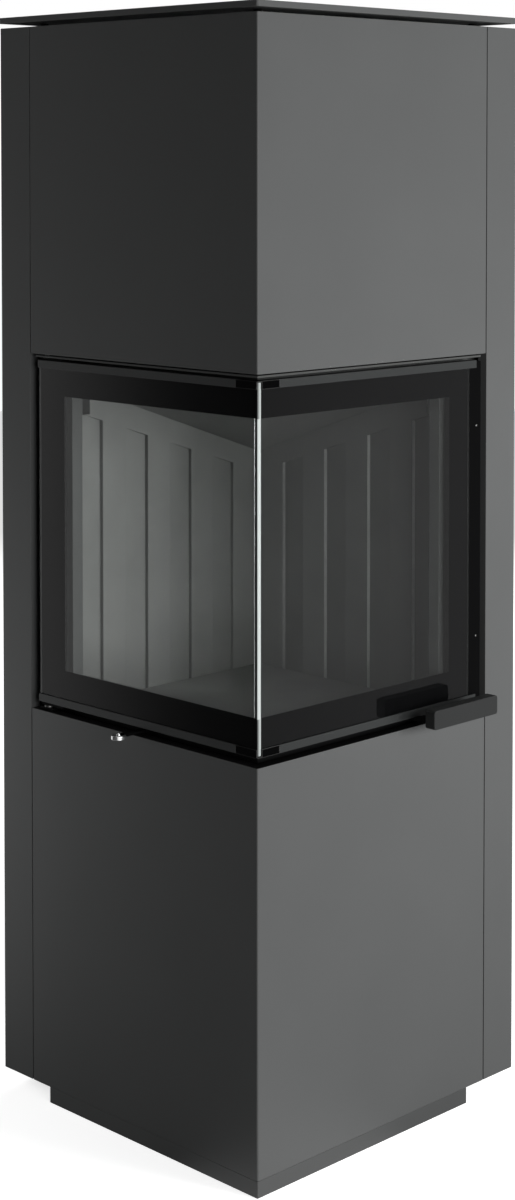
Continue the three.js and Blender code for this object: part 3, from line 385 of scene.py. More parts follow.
def painted(
    name, colour, spread, wear_and_highlight_colour, wear_and_highlight_share, roughness, grain_depth, grain_size=0.0012, specular=0.5
):
    """Sprayed paint on steel: the mottle moves the colour by spread, the grain moves the
    roughness and gives the bump, and the edges take wear_and_highlight_share of
    wear_and_highlight_colour, which stands for wear and for a painted highlight."""
    made, tree, shader = new_material(name, {"Specular IOR Level": specular})
    grain, mottle, edge_wear_and_highlight, side = placed(tree, sprayed_paint, {"Grain size": grain_size})
    darkest, palest = ([c * (1 + shift) for c in colour] for shift in (-spread, spread))
    tint = mixed_colour(tree, mottle, darkest, palest)
    # The paler edges are partly wear and partly a painted highlight.
    edge_wear_and_highlight_weight = add_math(tree, "MULTIPLY", edge_wear_and_highlight, wear_and_highlight_share)
    surface = {
        "Base Color": mixed_colour(tree, edge_wear_and_highlight_weight, tint, wear_and_highlight_colour),
        "Roughness": mapped(tree, grain, 0.3, 0.7, roughness - 0.05, roughness + 0.05),
        "Normal": bumped(tree, grain, grain_depth, 0.5, side),
    }
    set_inputs(shader, surface)
    return made


def finish_nodes(material, *names):
    """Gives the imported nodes' objects the material, in place of their own."""
    for name in names:
        slots = frame["nodes"][name].data.materials
        slots.clear()
        slots.append(material)


graphite = {
    "colour": (0.083, 0.085, 0.085),
    "spread": 0.06,
    "wear_and_highlight_colour": (0.13, 0.132, 0.13),
    "wear_and_highlight_share": 0.5,
    "roughness": 0.52,
    "grain_depth": 0.00006,
    "specular": 0.4,
}
casing_paint = painted("graphite_casing_paint", **graphite)
finish_nodes(casing_paint, "side_casing_left", "side_casing_right", "upper_front_casing", "top_plate")


def facing_mask_group():
    """1 on the faces that look along Axis, one of the object's own, and 0 on the rest: the cosine
    between the two, from 0.5 to 0.9."""
    tree, given = new_group("Facing mask", {"Axis": "Vector"}, {"Mask": "Float"})
    facing = tree.nodes.new("ShaderNodeTexCoord").outputs["Normal"]
    add_node(tree, "NodeGroupOutput", {"Mask": mapped(tree, dot(tree, facing, given["Axis"]), 0.5, 0.9)})
    return tree


facing_mask = facing_mask_group()


def recoloured(made, share, colour, blend="MIX"):
    """Blends the colour over the material's own by the share, a socket of its tree."""
    tree = made.node_tree
    base = tree.nodes["Principled BSDF"].inputs["Base Color"]
    tree.links.new(mixed_colour(tree, share, base.links[0].from_socket, colour, blend), base)


# The fold's top faces are painted near black: painted shade in the gap under the door.
fold_shade_paint = painted("graphite_paint_with_painted_shade_on_fold", **graphite)
fold_top_shade_mask = placed(fold_shade_paint.node_tree, facing_mask, {"Axis": (0, 0, 1)})[0]
recoloured(fold_shade_paint, fold_top_shade_mask, (0.0015, 0.0015, 0.0016))
finish_nodes(fold_shade_paint, "lower_front_casing")
# The plinth's faces that look along +X are painted a quarter darker: painted shade on its flank.
plinth_shaded_paint = painted("graphite_paint_with_painted_shade_on_flank", **graphite)
plinth_flank_shade_mask = placed(plinth_shaded_paint.node_tree, facing_mask, {"Axis": (1, 0, 0)})[0]
recoloured(plinth_shaded_paint, plinth_flank_shade_mask, (0.76, 0.76, 0.76), "MULTIPLY")
finish_nodes(plinth_shaded_paint, "plinth")


# ---------- Screws of the plain sides ----------
# Black countersunk screws hold each side casing to the base's rim and the lid's rim. Their heads
# lie flush and have a hexagon socket.

side_screw_radius = 0.003
side_screw_socket = 0.0011
side_screw_depth = 0.0012
side_screw_proud = 0.0002
side_screw_root = 0.002
side_screw_rim = 0.0001
side_screw_runs = (-0.2, 0.0, 0.2)
side_screw_rise = 0.012
side_screw_drop = 0.008


def ring_quads(rings, count, closed=False):
    """Quads between each ring of count points and the next, round the ring. A closed stack also
    joins its last ring to its first."""
    lower = np.arange(rings * count).reshape(rings, count)
    upper = np.roll(lower, -1, axis=0)
    if not closed:
        lower, upper = lower[:-1], upper[:-1]
    after = np.roll(lower, -1, axis=1)
    above = np.roll(upper, -1, axis=1)
    return np.stack([lower, after, above, upper], axis=-1).reshape(-1, 4)


def lofted(rings):
    """A closed skin over an array of rings (ring, point, xyz), each a loop that turns to the left
    as it is seen from the last ring. Flat faces close the first and the last."""
    count = rings.shape[1]
    last = (len(rings) - 1) * count
    ends = [np.arange(count)[::-1].tolist(), (np.arange(count) + last).tolist()]
    return rings.reshape(-1, 3), ring_quads(len(rings), count).tolist() + ends


def raised(flat, heights):
    """Rings of plan points, each ring at its own height."""
    return np.concatenate([flat, np.broadcast_to(heights[:, None, None], (*flat.shape[:2], 1))], axis=-1)


def spokes(steps):
    """Unit vectors round a circle: the cosine and the sine of equal steps of the full turn."""
    angles = np.arange(steps) * 2 * math.pi / steps
    return np.stack([np.cos(angles), np.sin(angles)], axis=-1)


def join_skins(skins):
    """One list of points and faces from several skins."""
    starts = np.cumsum([0] + [len(points) for points, _ in skins])
    faces = [[p + int(start) for p in face] for start, (_, faces) in zip(starts, skins) for face in faces]
    return np.concatenate([points for points, _ in skins]), faces


def add_piece(name, skin, material, body, stands_for=None, normals=None, sharp=35):
    """A piece from its skin, on its body. Its shading is smooth: along the normals where they are
    given, and elsewhere up to edges sharper than the angle."""
    mesh = bpy.data.meshes.new(name)
    points, faces = skin
    mesh.from_pydata(points.tolist(), [], faces)
    mesh.materials.append(material)
    mesh.shade_smooth()
    if normals is None:
        mesh.set_sharp_from_angle(angle=math.radians(sharp))
    else:
        mesh.normals_split_custom_set_from_vertices(normals.tolist())
    made = bpy.data.objects.new(name, mesh)
    bpy.context.collection.objects.link(made)
    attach(made, body)
    if stands_for:
        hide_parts(stands_for)
    return made


def screw_rings(profile, socket_radius, socket_depth, steps=24):
    """Rings of a screw head that points along +Z: the turned profile of (radius, height) pairs,
    from below, then a hexagon socket. The hexagon's radius at an angle is its flat's distance
    over the cosine to the nearest flat's middle."""
    sixth = math.pi / 3
    from_flat = (np.arange(steps) * 2 * math.pi / steps + sixth / 2) % sixth - sixth / 2
    hexagon = socket_radius / np.cos(from_flat)
    top = profile[-1][1]
    levels = (*profile, (hexagon, top), (hexagon, top - socket_depth))
    radii = np.stack([np.full(steps, radius) for radius, _ in levels])
    return raised(radii[..., None] * spokes(steps), np.array([height for _, height in levels]))


def place_rings(rings, spot, facing):
    """The rings moved to the spot and turned so that +Z becomes the facing axis: "x", "-x", "y",
    "-y" or "z". X and Y follow, so that the skin isn't mirrored."""
    x, y, z = rings[..., 0], rings[..., 1], rings[..., 2]
    turned = {"x": (z, x, y), "-x": (-z, y, x), "y": (y, z, x), "-y": (x, -z, y), "z": (x, y, z)}
    return np.stack(turned[facing], axis=-1) + np.array(spot)


screw_profile = (
    (side_screw_radius / 2, -side_screw_root),
    (side_screw_radius - side_screw_rim, 0.0),
    (side_screw_radius, side_screw_proud / 2),
    (side_screw_radius - side_screw_rim, side_screw_proud),
)
side_screw = screw_rings(screw_profile, side_screw_socket, side_screw_depth)
black_oxide = painted(
    "black_oxide_screw",
    colour=(0.012, 0.012, 0.013),
    spread=0.1,
    wear_and_highlight_colour=(0.05, 0.05, 0.05),
    wear_and_highlight_share=0.5,
    roughness=0.35,
    grain_depth=0.00001,
    grain_size=0.0004,
)
left_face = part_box("side_casing_left")[0][0]
right_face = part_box("side_casing_right")[1][1]
screw_heights = (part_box("base_plate")[0][2] + side_screw_rise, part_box("casing_lid")[1][2] - side_screw_drop)
for name, facing, spots in (
    ("side_screws_left", "-x", [(left_face, run, z) for run in side_screw_runs for z in screw_heights]),
    ("side_screws_right", "y", [(run, right_face, z) for run in side_screw_runs for z in screw_heights]),
):
    skins = [lofted(place_rings(side_screw, spot, facing)) for spot in spots]
    add_piece(name, join_skins(skins), black_oxide, "stove")


# ---------- Black fittings ----------
# The door's rails, stiles and latch cover, the hinge's leaves and bearing, the brackets, the
# slider and the top's pads are cut and bent steel in matt black heat-resistant paint.

black_paint = painted(
    "matt_black_paint",
    colour=(0.0018, 0.0018, 0.0019),
    spread=0.15,
    wear_and_highlight_colour=(0.012, 0.0125, 0.0125),
    wear_and_highlight_share=0.35,
    roughness=0.62,
    grain_depth=0.00005,
    specular=0.08,
)
finish_nodes(black_paint, "door_top_rail", "door_bottom_rail", "door_hinge_stile", "door_latch_stile")
finish_nodes(black_paint, "hinge_leaf_lower", "hinge_leaf_upper", "hinge_bearing", "latch_cover")
finish_nodes(black_paint, "handle_bracket_1", "handle_bracket_2", "catch_bracket", "air_slider")
finish_nodes(black_paint, *[f"top_pad_{i}" for i in range(1, 5)])


# ---------- Corner clamps ----------
# Bent clamps that hold the panes' ends together above and below. Their matt black turns pale
# along the rims, partly worn off and partly a painted highlight, so the rims shine thinly.

# The clamps' rims are painted pale: partly wear, partly a painted highlight.
clamp_paint = painted(
    "black_paint_with_highlit_rims",
    colour=(0.0013, 0.0013, 0.0014),
    spread=0.15,
    wear_and_highlight_colour=(0.12, 0.121, 0.12),
    wear_and_highlight_share=0.9,
    roughness=0.5,
    grain_depth=0.00004,
    specular=0.03,
)
finish_nodes(clamp_paint, "corner_clamp_top", "corner_clamp_bottom")


# ---------- Firebox's front plate ----------
# Thick plate that the door seals on, with turned-in lips round its window. Its paint is a dark
# grey, which shows on the lips and in the gap over the door. Below the door it is painted black,
# as painted shade of the gap under the door.

front_plate_shade_span = {"Axis": (0, 0, 1), "Clear": 0.577, "Full": 0.574}

front_plate_paint = painted(
    "front_plate_paint",
    colour=(0.06, 0.062, 0.061),
    spread=0.08,
    wear_and_highlight_colour=(0.09, 0.091, 0.088),
    wear_and_highlight_share=0.5,
    roughness=0.55,
    grain_depth=0.00008,
    specular=0.3,
)


def span_mask_group():
    """Grows from 0 to 1 between the places Clear and Full on Axis, one of the object's own."""
    inputs = {"Axis": "Vector", "Clear": "Float", "Full": "Float"}
    tree, given = new_group("Span mask", inputs, {"Mask": "Float"})
    along = dot(tree, object_place(tree), given["Axis"])
    add_node(tree, "NodeGroupOutput", {"Mask": mapped(tree, along, given["Clear"], given["Full"])})
    return tree


span_mask = span_mask_group()
# Below the door the plate is painted black: painted shade in the gap under the door.
front_plate_shade_mask = placed(front_plate_paint.node_tree, span_mask, front_plate_shade_span)[0]
recoloured(front_plate_paint, front_plate_shade_mask, (0.0018, 0.0018, 0.0019))
finish_nodes(front_plate_paint, "firebox_front")


# ---------- Inner steel ----------
# The base, legs, posts, lid, shields, shell, deflector and air box are thicker plate and sheet,
# in a thin dark grey primer that shows the steel's grain.

inner_paint = painted(
    "inner_steel_primer",
    colour=(0.035, 0.036, 0.037),
    spread=0.12,
    wear_and_highlight_colour=(0.12, 0.12, 0.118),
    wear_and_highlight_share=0.45,
    roughness=0.62,
    grain_depth=0.00008,
    grain_size=0.002,
)
finish_nodes(inner_paint, "base_plate", "casing_lid", "heat_shield_left", "heat_shield_right")
finish_nodes(inner_paint, "firebox_shell", "deflector_plate", "air_box")
finish_nodes(inner_paint, *[f"{kind}_{i}" for kind in ("support_leg", "lid_post") for i in range(1, 5)])


# ---------- Flue collar and air spigot ----------
# Two short tubes, each rolled from sheet and welded to a flat flange. A pipe slips over the one
# on the firebox's top, and a hose over the one on the air box's back.

flue_radii = (0.072, 0.075, 0.095)
flue_flange = 0.003
spigot_radii = (0.048, 0.050, 0.058)
spigot_flange = 0.002
weld_fillet = 0.0015
tube_edge = 0.0004


def rounded_loop(corners, radii, steps=6):
    """A closed loop with each corner of a polygon, taken anticlockwise, turned into an arc.

    An arc's middle lies off its corner by the radius times the tangent of half the turn, back
    along the side before, and by the radius to the inside of the turn. The outward normal is the
    right-hand side of the direction of travel, turned along with it.
    """
    corners = np.array(corners, float)
    radii = np.broadcast_to(np.array(radii, float), len(corners))[:, None]
    into = corners - np.roll(corners, 1, axis=0)
    into /= np.linalg.norm(into, axis=1)[:, None]
    out = np.roll(into, -1, axis=0)
    left = np.stack([-into[:, 1], into[:, 0]], axis=-1)
    turn = np.arctan2(into[:, 0] * out[:, 1] - into[:, 1] * out[:, 0], (into * out).sum(axis=1))
    bend = np.sign(turn)[:, None]
    middle = corners - into * radii * np.tan(np.abs(turn) / 2)[:, None] + left * radii * bend
    angle = turn[:, None] * np.linspace(0, 1, steps + 1)[None]
    cosine, sine = np.cos(angle)[..., None], np.sin(angle)[..., None]
    outward = -left[:, None] * cosine + into[:, None] * sine
    points = middle[:, None] + outward * (radii * bend)[:, None]
    return points.reshape(-1, 2), outward.reshape(-1, 2)


def rectangle(left, bottom, right, top):
    """A rectangle's corners, taken anticlockwise."""
    return (left, bottom), (right, bottom), (right, top), (left, top)


def axis_of_box(node, facing):
    """Where a node's box starts and ends along the axis, and the middle of the box across it."""
    low, high = (np.array(corner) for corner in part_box(node))
    axis = "xyz".index(facing)
    spot = (low + high) / 2
    spot[axis] = 0
    return low[axis], high[axis], spot


def turned_piece(name, node, facing, loop, outward, spot, steps, material, body, slot):
    """A closed loop of (radius, height) points turned about the axis, in the node's place: each
    radius times the unit vectors, at its own height."""
    rings, normals = (raised(part[:, None, :1] * spokes(steps), part[:, 1]) for part in (loop, outward))
    skin = place_rings(rings, spot, facing).reshape(-1, 3), ring_quads(len(loop), steps, closed=True).tolist()
    normals = place_rings(normals, (0, 0, 0), facing).reshape(-1, 3)
    add_piece(name, skin, material, body, node, normals)


def flanged_tube(name, node, facing, radii, flange):
    """A tube of the inner and outer radius that fills its node's box along the axis, with a
    flange at its foot."""
    low, high, spot = axis_of_box(node, facing)
    inner, outer, reach = radii
    foot = ((inner, low), (reach, low), (reach, low + flange), (outer, low + flange))
    edges = (tube_edge, tube_edge, tube_edge, weld_fillet, tube_edge, tube_edge)
    loop, outward = rounded_loop((*foot, (outer, high), (inner, high)), edges)
    turned_piece(name, node, facing, loop, outward, spot, 96, inner_paint, "stove", "inner_steel")


flanged_tube("flue_pipe_collar", "flue_collar", "z", flue_radii, flue_flange)
flanged_tube("air_hose_spigot", "air_spigot", "y", spigot_radii, spigot_flange)


# ---------- Firebricks ----------
# Linings, hearth and baffle are pressed slabs of grey mineral: a coarse pressed grain, pale
# flecks and a faint smoke stain in clouds. The recess sides of the right lining that face +X are
# painted up to three times paler towards the glass, as painted light where the lamps don't reach.

brick_painted_light_span = {"Axis": (1, 0, 0), "Clear": -0.167, "Full": 0.12}
brick_painted_light_factor = (3.0, 3.0, 3.0)
brick_worn_edge = 0.0012


def pressed_brick_group():
    """Pressed brick. Colour is broad noise between two greys, with pale flecks in the middles of
    Voronoi cells. Grain is fine noise, and Side is the normal rounded over the edges by wear."""
    outputs = {"Colour": "Color", "Grain": "Float", "Side": "Vector"}
    tree, given = new_group("Pressed brick", {"Worn edge": "Float"}, outputs)
    place = object_place(tree)
    greys = ((0.3, (0.13, 0.132, 0.129)), (0.7, (0.156, 0.158, 0.154)))
    body = ramped(tree, clouds(tree, place, 9, 4, 0.6), greys)
    cells = add_node(tree, "ShaderNodeTexVoronoi", {"Vector": place, "Scale": 260}).outputs["Distance"]
    surface = {
        "Colour": mixed_colour(tree, mapped(tree, cells, 0.12, 0.05, 0, 0.7), body, (0.21, 0.21, 0.205)),
        "Grain": clouds(tree, place, 420, 4, 0.65),
        "Side": add_node(tree, "ShaderNodeBevel", {"Radius": given["Worn edge"]}, samples=4).outputs[0],
    }
    add_node(tree, "NodeGroupOutput", surface)
    return tree


pressed_brick = pressed_brick_group()


def firebrick(name):
    """Pressed brick whose grain moves the roughness and gives the bump."""
    made, tree, shader = new_material(name, {"Specular IOR Level": 0.2})
    colour, grain, side = placed(tree, pressed_brick, {"Worn edge": brick_worn_edge})
    surface = {
        "Base Color": colour,
        "Roughness": mapped(tree, grain, 0.3, 0.7, 0.86, 0.96),
        "Normal": bumped(tree, grain, 0.0005, 0.5, side),
    }
    set_inputs(shader, surface)
    return made


finish_nodes(firebrick("pressed_firebrick"), "lining_left", "hearth_slab", "baffle_slab")

# The right lining's +X faces are painted paler towards the glass: painted light on the steps.
lit_step_brick = firebrick("firebrick_with_painted_light_on_steps")
lit_step_tree = lit_step_brick.node_tree
lit_step_faces = placed(lit_step_tree, facing_mask, {"Axis": (1, 0, 0)})[0]
lit_step_run = placed(lit_step_tree, span_mask, brick_painted_light_span)[0]
step_light_mask = add_math(lit_step_tree, "MULTIPLY", lit_step_faces, lit_step_run)
recoloured(lit_step_brick, step_light_mask, brick_painted_light_factor, "MULTIPLY")
finish_nodes(lit_step_brick, "lining_right")


# ---------- Air control's knob ----------
# A turned and polished steel disc on the end of the slider's arm, with rounded rims. A screw with
# a high domed head holds it.

knob_radius = 0.01025
knob_rim = 0.0011
knob_screw_radius = 0.003
knob_screw_height = 0.0028
knob_screw_sunk = 0.0001
knob_disc_drop = 0.0009
knob_low, knob_high, knob_spot = axis_of_box("air_knob", "z")
knob_top = knob_high - knob_disc_drop


def tool_marks_group():
    """The marks of turning and polishing: noise ten times finer along Z than across it."""
    tree, given = new_group("Tool marks", {"Fineness": "Float"}, {"Marks": "Float"})
    stretch = {"Vector": object_place(tree), "Scale": (300, 300, 3000)}
    place = add_node(tree, "ShaderNodeMapping", stretch).outputs[0]
    add_node(tree, "NodeGroupOutput", {"Marks": clouds(tree, place, given["Fineness"], 2)})
    return tree


tool_marks = tool_marks_group()


def bright_steel(name, colour, roughness, mark_depth):
    """Machined metal, whose tool marks move the roughness and give the bump."""
    made, tree, shader = new_material(name, {"Base Color": (*colour, 1), "Metallic": 1})
    marks = placed(tree, tool_marks, {"Fineness": 1})[0]
    surface = {
        "Roughness": mapped(tree, marks, 0.3, 0.7, roughness * 0.7, roughness * 1.3),
        "Normal": bumped(tree, marks, mark_depth, 0.3),
    }
    set_inputs(shader, surface)
    return made


chrome = bright_steel("polished_chrome", (0.9, 0.91, 0.91), 0.17, 0.000002)


def rim_levels(low, high, rim, steps=6):
    """Up a wall whose two rims are quarter circles: how far each level is drawn in, the rim times
    one less the sine, its height, by one less the cosine, and its normal's rise, the cosine."""
    turn = np.linspace(0, math.pi / 2, steps + 1)
    drawn, rise, lean = rim * (1 - np.sin(turn)), rim * (1 - np.cos(turn)), np.cos(turn)
    return (
        np.concatenate([drawn, drawn[::-1]]),
        np.concatenate([low + rise, (high - rise)[::-1]]),
        np.concatenate([-lean, lean[::-1]]),
    )


def rimmed_rings(loop, outward, drawn, heights, lean):
    """Rings of a wall: the loop drawn in along its normals at each level. Also their normals."""
    rings = raised(loop - drawn[:, None, None] * outward, heights)
    return rings, raised(outward * np.sqrt(1 - lean**2)[:, None, None], lean)


def circle_loop(radius, steps):
    """A circle's points, the radius times the unit vectors, and its outward normals."""
    return radius * spokes(steps), spokes(steps)


def dome_levels(base, radius, height, steps=6):
    """Up a dome, a quarter ellipse that stops short of its pole: the radius times the cosine and
    the height times the sine. Its normal's rise is that of the ellipse."""
    turn = np.linspace(0, 0.94 * math.pi / 2, steps + 1)
    drawn = radius * (1 - np.cos(turn))
    rise = np.stack([np.cos(turn) / radius, np.sin(turn) / height])
    lean = rise[1] / np.linalg.norm(rise, axis=0)
    return drawn, base + height * np.sin(turn), lean


def walled_piece(name, node, facing, walls, spot, material, body):
    """Walls that stand on the spot along the axis, each closed by flat ends, in the node's place."""
    skins = [lofted(place_rings(rings, spot, facing)) for rings, _ in walls]
    normals = [place_rings(normals, (0, 0, 0), facing).reshape(-1, 3) for _, normals in walls]
    add_piece(name, join_skins(skins), material, body, node, np.concatenate(normals))


knob_dome = dome_levels(knob_top - knob_screw_sunk, knob_screw_radius, knob_screw_height)
knob_walls = (
    rimmed_rings(*circle_loop(knob_radius, 64), *rim_levels(knob_low, knob_top, knob_rim)),
    rimmed_rings(*circle_loop(knob_screw_radius, 32), *knob_dome),
)
walled_piece(
    "air_knob_disc", "air_knob", "z", knob_walls, knob_spot, chrome, "air_control"
)


# ---------- Hinge pins, catch roller and striker ----------
# Turned pins with a collar, and a roller, of steel with fine tool marks that the heat has dulled.
# The striker is a strip of the same steel.

pin_radius = 0.0045
pin_collar = 0.007
pin_edge = 0.0004
lower_collar = (0.5498, 0.5522)
upper_collar = (1.0321, 1.0327)
turned_steel = bright_steel("turned_steel", (0.17, 0.17, 0.165), 0.38, 0.00002)
finish_nodes(turned_steel, "catch_striker")


def stepped_pin(name, node, collar_low, collar_high):
    """A pin with a collar between two heights: rounded discs stacked on its axis."""
    low, high, spot = axis_of_box(node, "z")
    walls = (
        rimmed_rings(*circle_loop(pin_radius, 48), *rim_levels(low, high, pin_edge)),
        rimmed_rings(*circle_loop(pin_collar, 48), *rim_levels(collar_low, collar_high, pin_edge / 2)),
    )
    body = frame["nodes"][node]["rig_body"]
    walled_piece(name, node, "z", walls, spot, turned_steel, body)


stepped_pin("lower_hinge_pin", "hinge_pin_lower", *lower_collar)
stepped_pin("upper_hinge_pin", "hinge_pin_upper", *upper_collar)

roller_bore = 0.0024
roller_edge = 0.0006
roller_low, roller_high, roller_spot = axis_of_box("catch_roller", "z")
roller_radius = (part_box("catch_roller")[1][0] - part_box("catch_roller")[0][0]) / 2
roller_loop = rounded_loop(rectangle(roller_bore, roller_low, roller_radius, roller_high), roller_edge)
turned_piece(
    "catch_roller_wheel",
    "catch_roller",
    "z",
    *roller_loop,
    roller_spot,
    48,
    turned_steel,
    "catch_roller",
    "bright_steel",
)


# ---------- Door's rope seal ----------
# Rope of dark grey glass fibre, knitted round a core and pressed to an oval by the front plate.
# It is glued into the channel that runs round the door's frame, as one closed run.

seal_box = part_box("door_rope_seal")
seal_half_depth = 0.007
seal_half_width = 0.0078
seal_bend = 0.009
seal_stitch = 0.0055
seal_strands = 5
seal_sides = 20


def knitted_rope():
    """Knit on the rope's own UV map, whose U counts stitches along it and V the way round: two
    sets of slanting ribs, the higher of which shows, with loose fibre noise between."""
    made, tree, shader = new_material("knitted_seal_rope", {"Specular IOR Level": 0.15, "Sheen Weight": 0.15})
    place = tree.nodes.new("ShaderNodeUVMap").outputs[0]
    stitches, way_round = (axis_of(tree, place, axis) for axis in "XY")
    strands = add_math(tree, "MULTIPLY", way_round, seal_strands)
    ribs = []
    for slant in ("ADD", "SUBTRACT"):
        turns = add_math(tree, slant, stitches, strands)
        ribs.append(add_math(tree, "SINE", add_math(tree, "MULTIPLY", turns, 2 * math.pi)))
    knit = mapped(tree, add_math(tree, "MAXIMUM", *ribs), -0.3, 1)
    fibre = add_math(tree, "MULTIPLY", clouds(tree, place, 60, 4, 0.7), 0.35)
    height = add_math(tree, "ADD", knit, fibre)
    # The colour is darker in the knit's hollows, as painted shade, and varies with the fibre noise.
    surface = {
        "Base Color": ramped(tree, height, ((0.15, (0.018, 0.018, 0.017)), (1.0, (0.075, 0.074, 0.07)))),
        "Roughness": mapped(tree, height, 0, 1, 0.98, 0.85),
        "Normal": bumped(tree, height, 0.0009, 0.8),
    }
    set_inputs(shader, surface)
    return made


def seal_run(corners, inward, bend, steps=8):
    """The rope's middle line: each corner is an arc from the side before to the side after, its
    points the arc's middle less the next direction times the cosine plus the last one times the
    sine. inward is each side's direction into the stove, which turns with the arc."""
    into = corners - np.roll(corners, 1, axis=0)
    into /= np.linalg.norm(into, axis=1)[:, None]
    out = np.roll(into, -1, axis=0)
    inward_out = np.roll(inward, -1, axis=0)
    angle = np.linspace(0, math.pi / 2, steps + 1)
    cosine, sine = np.cos(angle)[None, :, None], np.sin(angle)[None, :, None]
    middle = (corners + bend * (out - into))[:, None]
    points = middle + bend * (into[:, None] * sine - out[:, None] * cosine)
    along = into[:, None] * cosine + out[:, None] * sine
    depth = inward[:, None] * cosine + inward_out[:, None] * sine
    depth = depth / np.linalg.norm(depth, axis=-1)[..., None]
    return points.reshape(-1, 3), along.reshape(-1, 3), depth.reshape(-1, 3)


def seal_rope():
    """An oval carried along the run: half the rope's width across it and half its depth into the
    stove, times the sine and the cosine of the angle round it."""
    west, south, bottom = np.array(seal_box[0]) + seal_half_depth
    east, north, top = np.array(seal_box[1]) - seal_half_depth
    corners = [(west, south, bottom), (east, south, bottom), (east, north, bottom)]
    corners += [(east, north, top), (east, south, top), (west, south, top)]
    to_north, to_west = (0, 1, 0), (-1, 0, 0)
    inward = np.array([to_north, to_north, to_west, to_west, to_west, to_north], float)
    points, along, depth = seal_run(np.array(corners), inward, seal_bend)
    cosine, sine = np.split(spokes(seal_sides)[None], 2, axis=-1)
    into, across = cosine * depth[:, None], sine * np.cross(along, depth)[:, None]
    rings = points[:, None] + seal_half_depth * into + seal_half_width * across
    normals = seal_half_width * into + seal_half_depth * across
    normals /= np.linalg.norm(normals, axis=-1)[..., None]
    skin = rings.reshape(-1, 3), ring_quads(len(points), seal_sides, closed=True).tolist()
    normals = normals.reshape(-1, 3)
    made = add_piece("door_seal_rope", skin, knitted_rope(), "door", "door_rope_seal", normals)
    steps = np.linalg.norm(np.roll(points, -1, axis=0) - points, axis=1)
    length = np.concatenate([[0], np.cumsum(steps)])
    stitches = np.round(length[-1] / seal_stitch) * length / length[-1]
    ring, side = np.divmod(np.arange(len(points) * seal_sides), seal_sides)
    u = np.stack([stitches[ring], stitches[ring], stitches[ring + 1], stitches[ring + 1]], axis=-1)
    v = np.stack([side, side + 1, side + 1, side], axis=-1) / seal_sides
    made.data.uv_layers.new(name="UVMap").uv.foreach_set("vector", np.stack([u, v], axis=-1).ravel())


seal_rope()


# ---------- Glass panes ----------
# Two 6 mm panes of clear heat-resistant glass that butt at the near corner. Black enamel is
# printed on their inner faces along the top, the bottom and the far edge. The edges are ground
# and arrised. The front pane's end is ground round, and shows as a bright line down the corner.

print_top = 0.9816
print_bottom = 0.6056
front_clear_run = 0.379
flank_clear_run = 0.3738
casing_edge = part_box("lower_front_casing")[1][0]
front_print_start = casing_edge - front_clear_run
flank_print_start = flank_clear_run - casing_edge
pane_arris = 0.0004
pane_end_arris = 0.001
pane_fade_stop = 0.001


def clear_glass():
    """Clear glass with a trace of haze in clouds, which lets lamps through to the firebox."""
    inputs = {"Base Color": (0.9, 0.915, 0.91, 1), "IOR": 1.5, "Transmission Weight": 1}
    made, tree, shader = new_material("clear_glass", inputs)
    haze = clouds(tree, object_place(tree), 5, 3)
    set_inputs(shader, {"Roughness": mapped(tree, haze, 0.4, 0.8, 0, 0.012)})
    through = add_node(tree, "ShaderNodeBsdfTransparent", {"Color": (0.93, 0.94, 0.935, 1)}).outputs[0]
    shadow = tree.nodes.new("ShaderNodeLightPath").outputs["Is Shadow Ray"]
    shown = add_node(tree, "ShaderNodeMixShader", {0: shadow, 1: shader.outputs[0], 2: through}).outputs[0]
    set_inputs(tree.nodes["Material Output"], {"Surface": shown})
    return made


def specks_group():
    """The specks of a fired or ground surface: fine noise of the Scale."""
    tree, given = new_group("Specks", {"Scale": "Float"}, {"Specks": "Float"})
    add_node(tree, "NodeGroupOutput", {"Specks": clouds(tree, object_place(tree), given["Scale"], 3)})
    return tree


specks_noise = specks_group()


def speckled(name, dark, light, grain, roughness, specular, depth):
    """A fired or ground surface, whose specks lie between two greys and give the bump."""
    made, tree, shader = new_material(name, {"Specular IOR Level": specular})
    specks = placed(tree, specks_noise, {"Scale": 1 / grain})[0]
    surface = {
        "Base Color": ramped(tree, specks, ((0.35, dark), (0.65, light))),
        "Roughness": mapped(tree, specks, 0.3, 0.7, roughness - 0.05, roughness + 0.05),
        "Normal": bumped(tree, specks, depth, 0.4),
    }
    set_inputs(shader, surface)
    return made


glass = clear_glass()
enamel_greys = ((0.0018, 0.0018, 0.002), (0.0028, 0.0028, 0.003))
enamel = speckled("black_enamel", *enamel_greys, 0.0005, 0.8, 0.05, 0.00001)
ground_greys = ((0.42, 0.45, 0.44), (0.5, 0.53, 0.52))
bright_edge = speckled("ground_glass_end", *ground_greys, 0.0004, 0.45, 0.5, 0.00003)
arris_greys = ((0.03, 0.032, 0.032), (0.045, 0.047, 0.047))
dull_edge = speckled("arrised_glass_edge", *arris_greys, 0.0004, 0.4, 0.5, 0.00002)

# The front pane's ground end where the print backs it fades to dark towards the outer face, as
# painted shade.
print_shaded_edge = bright_edge.copy()
print_shaded_edge.name = "glass_end_with_painted_shade"
pane_outer, pane_inner = (corner[1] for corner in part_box("glass_front"))
pane_depth = {"Axis": (0, 1, 0), "Clear": pane_inner - pane_fade_stop, "Full": pane_outer}
recoloured(print_shaded_edge, placed(print_shaded_edge.node_tree, span_mask, pane_depth)[0], (0.04, 0.042, 0.042))


